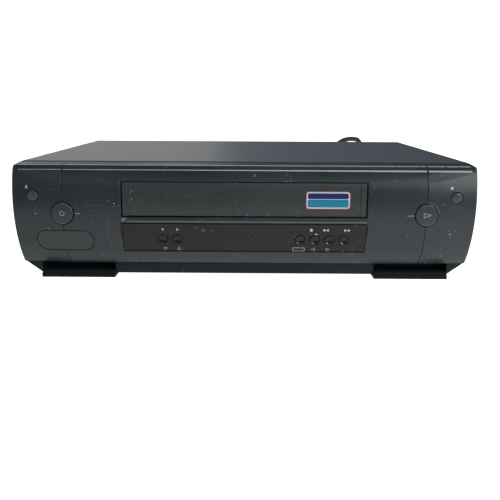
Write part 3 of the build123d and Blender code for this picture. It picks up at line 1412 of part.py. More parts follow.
def strain_relief():
    """The snap-in relief: neck in the rear panel, flange and tapered tail."""
    neck = along_y(RELIEF_X, RELIEF_Z, Y_REAR_IN - 3, Y_REAR + 1, RELIEF_NECK)
    flange = along_y(RELIEF_X, RELIEF_Z, Y_REAR, Y_REAR + RELIEF_FLANGE_THICK, RELIEF_FLANGE)
    flange = fillet(flange.edges().filter_by(GeomType.CIRCLE).sort_by(Axis.Y)[-1], 0.8)
    tail = relief_axis() * Pos(0, 0, RELIEF_LENGTH / 2) * Cone(RELIEF_ROOT / 2, RELIEF_TIP / 2, RELIEF_LENGTH)
    tail &= block(0, 2 * RELIEF_X, Y_REAR, 2 * Y_REAR, 0, 2 * HEIGHT)
    return neck + flange + tail


def coil_radius(turn):
    """Distance of the coil's line from its axis, at a count of turns from its outer start."""
    pitch = CORD + COIL_GAP
    outer = COIL_MEAN + pitch * COIL_TURNS / 2
    if turn <= COIL_TURNS:
        return outer - pitch * turn
    if turn >= COIL_TURNS + 0.5:
        return outer - pitch * COIL_TURNS + pitch * (turn - COIL_TURNS - 0.5)
    share = (turn - COIL_TURNS) / 0.5
    return outer - pitch * COIL_TURNS - COIL_CLIMB_IN * sin(pi * share) ** 2


def coil_height(turn):
    """Height of the coil's line, at a count of turns from its outer start."""
    share = min(max((turn - COIL_TURNS) / 0.5, 0), 1)
    return CORD / 2 + (CORD + COIL_GAP) * (1 - cos(pi * share)) / 2


def coil_point(turn):
    """A point of the coil's line. It starts at the back and runs towards -X."""
    angle = pi / 2 + 2 * pi * turn
    radius = coil_radius(turn)
    return Vector(COIL_X + radius * cos(angle), COIL_BACK + radius * sin(angle), coil_height(turn))


def coil_way(turn):
    """The coil's direction at a count of turns."""
    step = 0.001
    return (coil_point(min(turn + step, coil_turns())) - coil_point(max(turn - step, 0))).normalized()


def biarc(start, start_way, end, end_way):
    """Two tangent arcs from one point and direction to another."""
    chord, ways = end - start, start_way + end_way
    square = 2 * (1 - start_way.dot(end_way))
    along = chord.dot(ways)
    reach = (-along + (along**2 + square * chord.dot(chord)) ** 0.5) / square
    middle = (start + end + (start_way - end_way) * reach) * 0.5
    way = (end - end_way * reach - start - start_way * reach) * (0.5 / reach)
    return [Edge.make_tangent_arc(start, start_way, middle), Edge.make_tangent_arc(middle, way, end)]


def coil_turns():
    """How many turns the coil has in its two layers and its climb."""
    return 2 * COIL_TURNS + 0.5


def coil_line():
    """The coil's whole line: straight ends, and a biarc for each quarter turn."""
    turns = coil_turns()
    start, end = coil_point(0), coil_point(turns)
    edges = [Edge.make_line(start - coil_way(0) * CORD, start)]
    for quarter in range(round(4 * turns)):
        a, b = quarter / 4, (quarter + 1) / 4
        edges += biarc(coil_point(a), coil_way(a), coil_point(b), coil_way(b))
    edges.append(Edge.make_line(end, end + coil_way(turns) * COIL_TAIL))
    return Wire(edges)


def least_gap(line):
    """The least gap of a lead to itself, measured between points of its line half a turn apart."""
    count = round(line.length / 1.5)
    points = [line @ (step / count) for step in range(count + 1)]
    apart = round(pi * COIL_MEAN * 0.6 / 1.5)
    return min((b - a).length for i, a in enumerate(points) for b in points[i + apart :]) - CORD


def tube(line):
    """A round lead along a line."""
    return sweep(Plane(origin=line @ 0, z_dir=line % 0) * Circle(CORD / 2), line)


def corner_radii(points):
    """The largest radius that the two runs at each corner of a route allow."""
    radii = []
    for before, here, after in zip(points, points[1:], points[2:]):
        one, two = here - before, after - here
        half_turn = radians(one.get_angle(two)) / 2
        radii.append(0.45 * min(one.length, two.length) / tan(half_turn))
    return radii


def lead_points():
    """The lead's route, from the strain relief's tip to the start of the coil."""
    frame = relief_axis()
    tip = frame.origin + frame.z_dir * RELIEF_LENGTH
    start = coil_point(0) - coil_way(0) * CORD
    middle = [Vector(*point) for point in CORD_ROUTE]
    return [tip, tip + frame.z_dir * LEAD_START, *middle, start - coil_way(0) * LEAD_END, start]


def lead_line():
    """The lead's centre line: straight runs and the arcs between them."""
    points = lead_points()
    return FilletPolyline(*points, radius=corner_radii(points))


def plug_axis():
    """The plug's frame: its origin on the coil's end and its Z along the lead."""
    turns = coil_turns()
    way = coil_way(turns)
    return Plane(origin=coil_point(turns) + way * COIL_TAIL, x_dir=(0, 0, 1), z_dir=way)


def plug_height():
    """The plug lies on the shelf with its middle level with the coil's top layer."""
    return 2 * coil_height(coil_turns())


def mains_plug():
    """The moulded plug: a tapered nose and a rounded body."""
    tall = plug_height()
    nose = Pos(0, 0, PLUG_NOSE / 2) * Cone(PLUG_NOSE_TIP / 2, PLUG_NOSE_ROOT / 2, PLUG_NOSE)
    body = Pos(0, 0, PLUG_NOSE + PLUG_LENGTH / 2) * Box(tall, PLUG_WIDTH, PLUG_LENGTH)
    body = fillet(body.edges(), PLUG_ROUND)
    return plug_axis() * (nose + body)


def plug_blades():
    """The two flat blades."""
    start = PLUG_NOSE + PLUG_LENGTH
    blades = []
    for side in (-1, 1):
        blade = Pos(0, side * BLADE_PITCH / 2, start + BLADE_LENGTH / 2)
        blade *= Box(BLADE_WIDTH, BLADE_THICK, BLADE_LENGTH)
        blades.append(plug_axis() * blade)
    return blades


# ---------------------------------------------------------------- the whole machine


def case_pieces():
    """The case, its feet and what is behind its front."""
    return {
        "front_panel": front_panel(),
        "top_cover": top_cover(),
        "base_tray": base_tray(),
        "rear_panel": rear_panel(),
        "front_feet": front_feet(),
        "rear_feet": rear_feet(),
        "case_screws": case_screws(),
        "display_window": display_window(),
        "badge_plate": badge_plate(),
        "cassette_door": cassette_door(),
        "front_board": front_board(),
        "tact_switches": tact_switches(),
        "display_tube": display_tube(),
        **{name: button(*place) for name, *place in buttons()},
    }


def electric_pieces():
    """The boards, the power supply and the sockets."""
    return {
        "main_board": main_board(),
        "power_board": power_board(),
        "board_components": board_components(),
        "power_transformer": power_transformer(),
        "heat_sink": heat_sink(),
        "tuner_module": tuner_module(),
        "av_jack_block": av_jack_block(),
        "jack_collars": jack_collars(),
        **{"jack_" + colour: jack_rings(colour) for colour in ("yellow", "white", "red")},
    }


def deck_pieces():
    """The deck and what runs on it."""
    return {
        "deck_plate": deck_plate(),
        "supply_reel": reel(-REEL_X),
        "takeup_reel": reel(REEL_X),
        "lower_drum": lower_drum(),
        "upper_drum": upper_drum(),
        "capstan_motor": capstan_motor(),
        "capstan_flywheel": capstan_flywheel(),
        "drive_belt": drive_belt(),
        "clutch_pulley": clutch_pulley(),
        "idler_arm": idler_arm(),
        "idler_wheel": idler_wheel(),
        "pinch_arm": pinch_arm(),
        "pinch_roller": pinch_roller(),
        "cam_gear": cam_gear(),
        "loading_motor": loading_motor(),
        "loading_guide_supply": loading_guide(-1),
        "loading_guide_takeup": loading_guide(1),
        "tape_heads": tape_heads(),
        "cassette_holder": cassette_holder(),
        "holder_sliders": holder_sliders(),
        "holder_brackets": holder_brackets(),
    }


def lead_pieces():
    """The mains lead, with its strain relief, its coil and its plug."""
    return {
        "strain_relief": strain_relief(),
        "cord_lead": tube(lead_line()),
        "cord_coil": tube(coil_line()),
        "mains_plug": mains_plug(),
        "plug_blades": plug_blades(),
    }


def as_shape(piece):
    """A node's shape: one solid, or a group of separate ones."""
    return Compound(piece) if isinstance(piece, list) else piece


def case_middle(pieces):
    """The middle of the case along Y, from its pieces without the lead."""
    boxes = [as_shape(piece).bounding_box() for piece in pieces.values()]
    return (min(box.min.Y for box in boxes) + max(box.max.Y for box in boxes)) / 2


def print_lead(pieces):
    """Print the lead's radii, its gap to itself and its volume against section times length."""
    print("lead radii:", [round(radius, 1) for radius in corner_radii(lead_points())])
    print("coil's least gap to itself:", round(least_gap(coil_line()), 3))
    for name, line in (("cord_lead", lead_line()), ("cord_coil", coil_line())):
        plain = pi * CORD**2 / 4 * line.length
        print(name, "length", round(line.length, 1), "volume share", round(pieces[name].volume / plain, 5))


def main():
    """Build every piece, move the machine onto its origin and write one file a node."""
    os.makedirs("parts", exist_ok=True)
    machine = {**case_pieces(), **electric_pieces(), **deck_pieces()}
    middle = case_middle(machine)
    lead = lead_pieces()
    print_lead(lead)
    print("origin lies behind the top front edge by", round(middle, 4))
    print("idler swings each way by", round(idler_swing(), 3), "degrees")
    for name, piece in {**machine, **lead}.items():
        export_step(Pos(0, -middle, 0) * as_shape(piece), f"parts/{name}.step")


if __name__ == "__main__":
    main()
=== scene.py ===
"""Looks of a front-loading video cassette recorder, dressed over its fixed frame.

Places are given in millimetres as (x, y, z): +X is the viewer's right, y runs back from the top
front edge of the front panel, and z is the height over the shelf. spot() turns them into metres in
the frame, whose origin lies under the middle of the case.
"""

import logging
from dataclasses import dataclass
from enum import Enum
from math import cos, pi, radians, sin

import bmesh
import bpy
from mathutils import Matrix, Vector
from mathutils.bvhtree import BVHTree
from mathutils.geometry import convex_hull_2d


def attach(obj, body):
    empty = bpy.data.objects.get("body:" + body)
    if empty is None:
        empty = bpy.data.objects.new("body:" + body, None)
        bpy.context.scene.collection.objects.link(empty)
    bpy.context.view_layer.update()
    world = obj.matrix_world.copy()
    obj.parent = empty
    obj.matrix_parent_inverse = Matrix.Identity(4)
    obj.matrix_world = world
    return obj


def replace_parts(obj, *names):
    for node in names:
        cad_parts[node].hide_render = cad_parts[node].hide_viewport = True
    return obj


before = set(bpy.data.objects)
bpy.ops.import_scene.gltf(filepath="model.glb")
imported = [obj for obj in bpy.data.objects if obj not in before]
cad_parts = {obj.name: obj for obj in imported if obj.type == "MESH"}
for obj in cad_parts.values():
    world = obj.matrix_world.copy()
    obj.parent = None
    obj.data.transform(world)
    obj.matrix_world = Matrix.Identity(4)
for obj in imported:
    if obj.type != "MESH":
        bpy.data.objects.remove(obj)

LOG = logging.getLogger("recorder")
MM = 0.001
ORIGIN_BACK = 133.5621       # the frame's origin, behind the top front edge of the panel
INK_LIFT = 0.06              # printed marks over the surface that carries them
PHOTO_SIDE = 500             # side of the square picture, in pixels
WELD_WITHIN = 0.000002       # points of a solid this close are joined, in metres
SHARP_ANGLE = 24.0           # a sharper turn between faces stays an edge, in degrees
CUT_ROUNDS = 6               # a mark's long edges are halved this often at most
CIRCLE_SIDES = 28            # straight sides of a filled circle
THIN_EDGE = 0.00002          # edge radius of printed and painted pieces, in metres
PLASTIC_IOR = 1.5
BEFORE_PANEL = -0.4          # where the rays start that lay a mark, in metres
DUST_COLOR = (0.42, 0.42, 0.40, 1)
SHADE_COLOR = (0.002, 0.002, 0.0025, 1)


def spot(x: float, y: float, z: float) -> Vector:
    """Turn a place in millimetres into metres in the frame.

    Args:
        x: distance to the viewer's right of the middle.
        y: distance behind the top front edge.
        z: height over the shelf.

    Returns:
        The place in the frame.
    """
    return Vector((x * MM, (y - ORIGIN_BACK) * MM, z * MM))


# ---------------------------------------------------------------- shared shader groups


class Wires:
    """A small helper that adds nodes to one tree and links them."""

    def __init__(self, tree: bpy.types.NodeTree) -> None:
        """Keep the tree."""
        self.tree = tree

    def node(self, kind: str, inputs: dict | None = None, **settings: object) -> bpy.types.Node:
        """Add one node.

        Args:
            kind: the node's type name.
            inputs: socket name or index to a value or to the output socket that feeds it.
            **settings: the node's own properties.

        Returns:
            The new node.
        """
        made = self.tree.nodes.new(kind)
        for name, value in settings.items():
            setattr(made, name, value)
        for socket, value in (inputs or {}).items():
            if isinstance(value, bpy.types.NodeSocket):
                self.tree.links.new(value, made.inputs[socket])
            else:
                made.inputs[socket].default_value = value
        return made

    def math(self, operation: str, first: object, second: object = 0.0) -> bpy.types.NodeSocket:
        """Add a calculation with one or two terms and return its output."""
        made = self.node("ShaderNodeMath", {0: first, 1: second}, operation=operation)
        return made.outputs[0]

    def ramp(
        self, value: object, low: float, high: float, to: tuple[float, float] = (0, 1)
    ) -> bpy.types.NodeSocket:
        """Map a value between two limits, clamped.

        Args:
            value: the number or socket to map.
            low: the value that gives the first result.
            high: the value that gives the second result.
            to: the two results.

        Returns:
            The output.
        """
        inputs = {"Value": value, "From Min": low, "From Max": high, "To Min": to[0], "To Max": to[1]}
        return self.node("ShaderNodeMapRange", inputs, clamp=True).outputs[0]

    def mix(self, share: object, first: object, second: object) -> bpy.types.NodeSocket:
        """Mix two colours and return the result."""
        made = self.node("ShaderNodeMix", {0: share, 6: first, 7: second}, data_type="RGBA")
        return made.outputs[2]

    def tint(self, grey: object, red: float, blue: float) -> bpy.types.NodeSocket:
        """Give a grey its shares of red and blue and return the colour."""
        parts = {0: self.math("MULTIPLY", grey, red), 1: grey, 2: self.math("MULTIPLY", grey, blue)}
        return self.node("ShaderNodeCombineXYZ", parts).outputs[0]

    def noise(self, place: object, scale: object, detail: float, **more: float) -> bpy.types.NodeSocket:
        """Add a noise texture and return its value.

        Args:
            place: the socket that says where.
            scale: its scale, as a number or a socket.
            detail: its detail.
            **more: other inputs by name.

        Returns:
            The output.
        """
        inputs = {"Vector": place, "Scale": scale, "Detail": detail, **more}
        return self.node("ShaderNodeTexNoise", inputs).outputs[0]


def new_group(name: str, inputs: dict[str, tuple[str, object]], outputs: dict[str, str]) -> tuple:
    """Start a shader node group.

    Args:
        name: the group's name.
        inputs: name to (socket type, default value).
        outputs: name to socket type.

    Returns:
        The group, its wires, its input node and its output node.
    """
    group = bpy.data.node_groups.new(name, "ShaderNodeTree")
    for title, (kind, value) in inputs.items():
        socket = group.interface.new_socket(title, in_out="INPUT", socket_type=kind)
        if value is not None:
            socket.default_value = value
    for title, kind in outputs.items():
        group.interface.new_socket(title, in_out="OUTPUT", socket_type=kind)
    wires = Wires(group)
    return group, wires, wires.node("NodeGroupInput"), wires.node("NodeGroupOutput")


def make_handling_group() -> bpy.types.NodeTree:
    """Dust, fine scratches and uneven gloss of a used surface.

    Returns:
        The group: it takes a place and amounts, and gives masks and a height.
    """
    number = "NodeSocketFloat"
    inputs = {
        "Place": ("NodeSocketVector", None),
        "Dust": (number, 0.3),
        "Scratches": (number, 0.3),
        "Grain Scale": (number, 2500.0),
    }
    outputs = dict.fromkeys(("Dust", "Scratches", "Smear", "Grain", "Streaks"), number)
    group, w, given, result = new_group("handling_marks", inputs, outputs)
    place = given.outputs["Place"]
    near = w.node("ShaderNodeTexVoronoi", {"Vector": place, "Scale": 260.0, "Randomness": 1.0})
    speck_size = w.ramp(w.noise(place, 90.0, 2.0), 0.44, 0.75, (0.0, 0.2))
    speck = w.math("LESS_THAN", near.outputs["Distance"], speck_size)
    lint = w.ramp(w.noise(place, 1400.0, 3.0), 0.70, 0.78)
    dust = w.math("MULTIPLY", w.math("MAXIMUM", speck, lint), given.outputs["Dust"])
    masks = []
    for turn, stretch in ((0.35, (6.0, 900.0, 900.0)), (-0.9, (9.0, 700.0, 700.0))):
        laid = {"Vector": place, "Rotation": (turn, turn, turn), "Scale": stretch}
        line = w.noise(w.node("ShaderNodeMapping", laid).outputs[0], 1.0, 1.0)
        masks.append(w.ramp(line, 0.735, 0.76))
    lines = w.math("MULTIPLY", w.math("MAXIMUM", masks[0], masks[1]), given.outputs["Scratches"])
    smear = w.noise(place, 14.0, 5.0, Distortion=0.6)
    grain = w.noise(place, given.outputs["Grain Scale"], 2.0)
    along = w.node("ShaderNodeMapping", {"Vector": place, "Scale": (18.0, 260.0, 260.0)}).outputs[0]
    streak = w.noise(along, 1.0, 6.0, Roughness=0.7)
    results = {"Dust": dust, "Scratches": lines, "Smear": smear, "Grain": grain, "Streaks": streak}
    for title, value in results.items():
        w.tree.links.new(value, result.inputs[title])
    return group


def make_edge_group() -> bpy.types.NodeTree:
    """Rounded edges for the light, where hands rub them, and painted shade in narrow gaps.

    Returns:
        The group: it takes a radius and a place, and gives a normal and two masks.
    """
    number = "NodeSocketFloat"
    inputs = {"Radius": (number, 0.0004), "Place": ("NodeSocketVector", None)}
    outputs = {"Normal": "NodeSocketVector", "Rub": number, "Crevice Shade": number}
    group, w, given, result = new_group("edge_rub", inputs, outputs)
    bevel = w.node("ShaderNodeBevel", {"Radius": given.outputs["Radius"]}, samples=4)
    flat = w.node("ShaderNodeNewGeometry").outputs["True Normal"]
    turned = w.node("ShaderNodeVectorMath", {0: bevel.outputs[0], 1: flat}, operation="DOT_PRODUCT")
    uneven = w.noise(given.outputs["Place"], 120.0, 4.0)
    rubbed = w.ramp(turned.outputs["Value"], 0.97, 0.80)
    # Painted shade: ambient occlusion finds narrow gaps, which the finishes darken towards near black.
    open_sky = w.node("ShaderNodeAmbientOcclusion", {"Distance": 0.0022}, samples=6).outputs["AO"]
    w.tree.links.new(w.ramp(open_sky, 0.80, 0.45), result.inputs["Crevice Shade"])
    w.tree.links.new(bevel.outputs[0], result.inputs["Normal"])
    w.tree.links.new(w.math("MULTIPLY", rubbed, w.ramp(uneven, 0.42, 0.62)), result.inputs["Rub"])
    return group


HANDLING = make_handling_group()
EDGES = make_edge_group()


# ---------------------------------------------------------------- finishes


@dataclass(frozen=True)
class Finish:
    """One surface finish, from its colour to its wear and the painted shade in its narrow gaps."""

    name: str
    color: tuple[float, float, float]
    rough: float = 0.45
    metallic: float = 0.0
    grain: float = 0.02
    grain_scale: float = 2500.0
    dust: float = 0.25
    scratches: float = 0.25
    rub: float = 0.35
    edge: float = 0.0004
    smear: float = 0.08
    streaks: float = 0.0
    # how far painted shade darkens narrow gaps
    crevice_shade: float = 0.0
    specular: float = 0.5

    def tone(self, gain: float, lift: float) -> tuple[float, float, float, float]:
        """The colour made brighter for a shader, up to white."""
        return (*(min(part * gain + lift, 1) for part in self.color), 1)

    def material(self) -> bpy.types.Material:
        """Build the material, or return it if it is built already.

        Returns:
            The material.
        """
        if self.name in bpy.data.materials:
            return bpy.data.materials[self.name]
        made = bpy.data.materials.new(self.name)
        made.use_nodes = True
        made.node_tree.nodes.clear()
        w = Wires(made.node_tree)
        place = w.node("ShaderNodeTexCoord").outputs["Object"]
        amounts = {"Dust": self.dust, "Scratches": self.scratches, "Grain Scale": self.grain_scale}
        marks = w.node("ShaderNodeGroup", {"Place": place, **amounts}, node_tree=HANDLING).outputs
        edges = w.node("ShaderNodeGroup", {"Radius": self.edge, "Place": place}, node_tree=EDGES).outputs
        bright, smear, streaks = self.tone(1.9, 0.05), marks["Smear"], marks["Streaks"]
        smeared = w.ramp(smear, 0.35, 0.7, (0, self.smear * 3))
        color = w.mix(smeared, (*self.color, 1), self.tone(1.25, 0.004))
        color = w.mix(w.ramp(streaks, 0.5, 0.8, (0, self.streaks)), color, self.tone(1.6, 0.02))
        color = w.mix(w.math("MULTIPLY", edges["Rub"], self.rub), color, bright)
        color = w.mix(w.math("MULTIPLY", marks["Scratches"], 0.5), color, bright)
        color = w.mix(w.math("MULTIPLY", marks["Dust"], 0.8), color, DUST_COLOR)
        # Painted shade: narrow gaps darkened towards SHADE_COLOR.
        color = w.mix(w.math("MULTIPLY", edges["Crevice Shade"], self.crevice_shade), color, SHADE_COLOR)
        rough = w.ramp(smear, 0.3, 0.75, (self.rough - self.smear, self.rough + self.smear))
        rough = w.math("ADD", rough, w.math("MULTIPLY", marks["Dust"], 0.3))
        rough = w.math("ADD", rough, w.ramp(streaks, 0.45, 0.75, (0, self.streaks * 0.15)))
        height = w.math("ADD", marks["Grain"], w.math("MULTIPLY", streaks, self.streaks * 45))
        bump = w.node(
            "ShaderNodeBump",
            {
                "Height": height,
                "Strength": self.grain * 10,
                "Distance": 0.00002,
                "Normal": edges["Normal"],
            },
        )
        shader = w.node("ShaderNodeBsdfPrincipled", {"Base Color": color, "Roughness": rough})
        constants = {
            "Metallic": self.metallic,
            "Specular IOR Level": self.specular,
            "IOR": PLASTIC_IOR,
        }
        for socket, value in constants.items():
            shader.inputs[socket].default_value = value
        made.node_tree.links.new(bump.outputs[0], shader.inputs["Normal"])
        output = w.node("ShaderNodeOutputMaterial")
        made.node_tree.links.new(shader.outputs[0], output.inputs[0])
        return made


PANEL = Finish(
    "panel_plastic",
    (0.015, 0.0205, 0.0225),
    rough=0.32,
    grain=0.05,
    dust=0.7,
    scratches=0.55,
    rub=0.55,
    edge=0.0009,
    crevice_shade=0.95,
)
COVER = Finish(
    "cover_paint",
    (0.012, 0.016, 0.020),
    rough=0.2,
    grain=0.12,
    grain_scale=1600.0,
    dust=1.0,
    scratches=1.0,
    streaks=0.5,
    edge=0.0008,
)
TRAY = Finish("tray_plastic", (0.006, 0.009, 0.011), rough=0.6, grain=0.08, specular=0.25)
FOOT = Finish("foot_plastic", (0.003, 0.005, 0.008), rough=0.65, grain=0.08, specular=0.15)
FOOT_RUBBER = Finish("foot_rubber", (0.012, 0.012, 0.012), rough=0.85, grain=0.1)
DOOR = Finish(
    "door_plastic",
    (0.030, 0.0335, 0.0335),
    rough=0.36,
    grain=0.03,
    dust=0.6,
    scratches=0.6,
    edge=0.0003,
    crevice_shade=0.6,
)
WINDOW = Finish(
    "smoked_window",
    (0.011, 0.0090, 0.0085),
    rough=0.18,
    grain=0.0,
    dust=0.5,
    scratches=0.35,
    edge=0.0003,
    specular=0.32,
)
BADGE = Finish("badge_plate", (0.021, 0.027, 0.028), rough=0.26, grain=0.01, edge=0.0002, crevice_shade=0.95)
BUTTON = Finish(
    "button_plastic", (0.026, 0.032, 0.034), rough=0.30, grain=0.03, edge=0.0008, rub=0.9, crevice_shade=0.9
)
SMALL_BUTTON = Finish(
    "small_button_plastic", (0.040, 0.046, 0.048), rough=0.32, grain=0.03, edge=0.0018, crevice_shade=0.9
)
GLOSS_BUTTON = Finish(
    "gloss_button", (0.005, 0.009, 0.012), rough=0.16, grain=0.0, edge=0.0004, specular=0.4
)
ZINC = Finish("zinc_steel", (0.50, 0.51, 0.50), rough=0.38, metallic=1.0, grain=0.06, dust=0.15)
SCREW = Finish("black_screw", (0.05, 0.05, 0.052), rough=0.35, metallic=0.9, rub=0.8)
BOARD = Finish("brown_board", (0.24, 0.15, 0.07), rough=0.5, grain=0.05)
COMPONENT = Finish("component_black", (0.016, 0.016, 0.018), rough=0.42)
FERRITE = Finish("ferrite", (0.05, 0.045, 0.04), rough=0.6, grain=0.1)
ALUMINIUM = Finish("bare_aluminium", (0.72, 0.72, 0.72), rough=0.34, metallic=1.0)
TIN = Finish("tinned_can", (0.58, 0.58, 0.55), rough=0.3, metallic=1.0, smear=0.12)
SOCKET = Finish("socket_black", (0.014, 0.014, 0.014), rough=0.5)
NICKEL = Finish("socket_nickel", (0.66, 0.64, 0.60), rough=0.2, metallic=1.0)
YELLOW = Finish("socket_yellow", (0.72, 0.46, 0.02), rough=0.4)
WHITE = Finish("socket_white", (0.70, 0.70, 0.66), rough=0.4)
RED = Finish("socket_red", (0.50, 0.02, 0.02), rough=0.4)
CORD = Finish(
    "cord_rubber", (0.012, 0.012, 0.013), rough=0.5, grain=0.04, dust=0.1, scratches=0.0, edge=0.0001
)
PLUG = Finish("plug_rubber", (0.013, 0.013, 0.014), rough=0.55, grain=0.05)
BRASS = Finish("plug_brass", (0.66, 0.55, 0.32), rough=0.28, metallic=1.0)
GLASS = Finish("display_glass", (0.010, 0.016, 0.015), rough=0.06, grain=0.0, dust=0.1)
DRUM = Finish(
    "drum_aluminium", (0.74, 0.74, 0.75), rough=0.16, metallic=1.0, grain=0.01, dust=0.05, edge=0.0002
)
MOTOR = Finish("motor_steel", (0.56, 0.56, 0.55), rough=0.3, metallic=1.0)
CHROME = Finish("head_chrome", (0.72, 0.72, 0.73), rough=0.08, metallic=1.0, grain=0.0, dust=0.05)
NYLON = Finish("white_nylon", (0.70, 0.69, 0.64), rough=0.45, edge=0.0003)
REEL = Finish("reel_plastic", (0.022, 0.022, 0.023), rough=0.4)
ROLLER = Finish("roller_rubber", (0.02, 0.02, 0.02), rough=0.75)
INK = Finish("legend_ink", (0.46, 0.48, 0.48), rough=0.5, grain=0.0, rub=0.0, edge=THIN_EDGE)
LAMP = Finish("lamp_red", (0.085, 0.022, 0.020), rough=0.2, grain=0.0, edge=0.00005)
LABEL_EDGE = Finish("label_pink", (0.62, 0.27, 0.31), rough=0.4, grain=0.0, edge=THIN_EDGE)
LABEL_WHITE = Finish("label_white", (0.62, 0.66, 0.66), rough=0.35, grain=0.0, edge=THIN_EDGE)
LABEL_BLUE = Finish("label_blue", (0.010, 0.020, 0.12), rough=0.3, grain=0.0, edge=THIN_EDGE)
LABEL_TEAL = Finish("label_teal", (0.010, 0.19, 0.30), rough=0.3, grain=0.0, edge=THIN_EDGE)
WORN = Finish("worn_plastic", (0.22, 0.23, 0.23), rough=0.45, grain=0.1, edge=THIN_EDGE)
SCUFF = Finish("scuffed_plastic", (0.075, 0.083, 0.085), rough=0.5, grain=0.1, edge=THIN_EDGE)
# Painted highlight for the shining edges of the front panel.
EDGE_HIGHLIGHT = Finish("painted_edge_highlight", (0.44, 0.45, 0.46), rough=0.3, grain=0.0, edge=THIN_EDGE)
# Painted highlight for the rims of buttons, the recess by the play button and the crest of the rail.
RIM_HIGHLIGHT = Finish("painted_rim_highlight", (0.105, 0.112, 0.115), rough=0.35, grain=0.0, edge=THIN_EDGE)
SEAM = Finish(
    "seam_shadow", (0.0025, 0.0028, 0.003), rough=0.9, grain=0.0, dust=0.0, specular=0.1, edge=THIN_EDGE
)


class Group(Enum):
    """Which nodes take which finish: (finish, names of the nodes)."""

    PANEL = (PANEL, ("front_panel",))
    COVER = (COVER, ("top_cover",))
    TRAY = (TRAY, ("base_tray",))
    FEET = (FOOT, ("front_feet",))
    REAR_FEET = (FOOT_RUBBER, ("rear_feet",))
    DOOR = (DOOR, ("cassette_door",))
    WINDOW = (WINDOW, ("display_window",))
    BADGE = (BADGE, ("badge_plate",))
    BUTTONS = (BUTTON, ("power_button", "play_button"))
    CORNER_BUTTONS = (SMALL_BUTTON, ("eject_button", "stop_button"))
    GLOSS_BUTTONS = (
        GLOSS_BUTTON,
        (
            "channel_down_button",
            "channel_up_button",
            "menu_button",
            "record_button",
            "rewind_button",
            "fast_forward_button",
        ),
    )
    STEEL = (
        ZINC,
        ("rear_panel", "deck_plate", "holder_brackets", "cassette_holder", "pinch_arm", "idler_arm"),
    )
    SCREWS = (SCREW, ("case_screws",))
    BOARDS = (BOARD, ("main_board", "power_board", "front_board"))
    BLACK_PARTS = (COMPONENT, ("board_components", "tact_switches"))
    FERRITE = (FERRITE, ("power_transformer",))
    ALUMINIUM = (ALUMINIUM, ("heat_sink",))
    TIN = (TIN, ("tuner_module",))
    SOCKETS = (SOCKET, ("av_jack_block",))
    NICKEL = (NICKEL, ("jack_collars",))
    YELLOW = (YELLOW, ("jack_yellow",))
    WHITE = (WHITE, ("jack_white",))
    RED = (RED, ("jack_red",))
    RELIEF = (CORD, ("strain_relief", "cord_lead", "cord_coil"))
    PLUG = (PLUG, ("mains_plug",))
    BLADES = (BRASS, ("plug_blades",))
    GLASS = (GLASS, ("display_tube",))
    DRUMS = (DRUM, ("lower_drum", "upper_drum"))
    MOTORS = (MOTOR, ("capstan_motor", "capstan_flywheel", "loading_motor"))
    CHROME = (CHROME, ("tape_heads", "loading_guide_supply", "loading_guide_takeup"))
    NYLON = (NYLON, ("holder_sliders", "clutch_pulley", "cam_gear"))
    REELS = (REEL, ("supply_reel", "takeup_reel"))
    ROLLERS = (ROLLER, ("pinch_roller", "idler_wheel", "drive_belt"))


def dress_nodes() -> None:
    """Give every solid of the frame its finish and smooth shading between its sharp edges."""
    for group in Group:
        finish, names = group.value
        for name in names:
            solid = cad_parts[name]
            solid.data.materials.clear()
            solid.data.materials.append(finish.material())
            weld = solid.modifiers.new("weld", "WELD")
            weld.merge_threshold = WELD_WITHIN
            for face in solid.data.polygons:
                face.use_smooth = True
            split = solid.modifiers.new("split", "EDGE_SPLIT")
            split.split_angle = radians(SHARP_ANGLE)
        LOG.info("%s on %s", finish.name, ", ".join(names))


# ---------------------------------------------------------------- studio


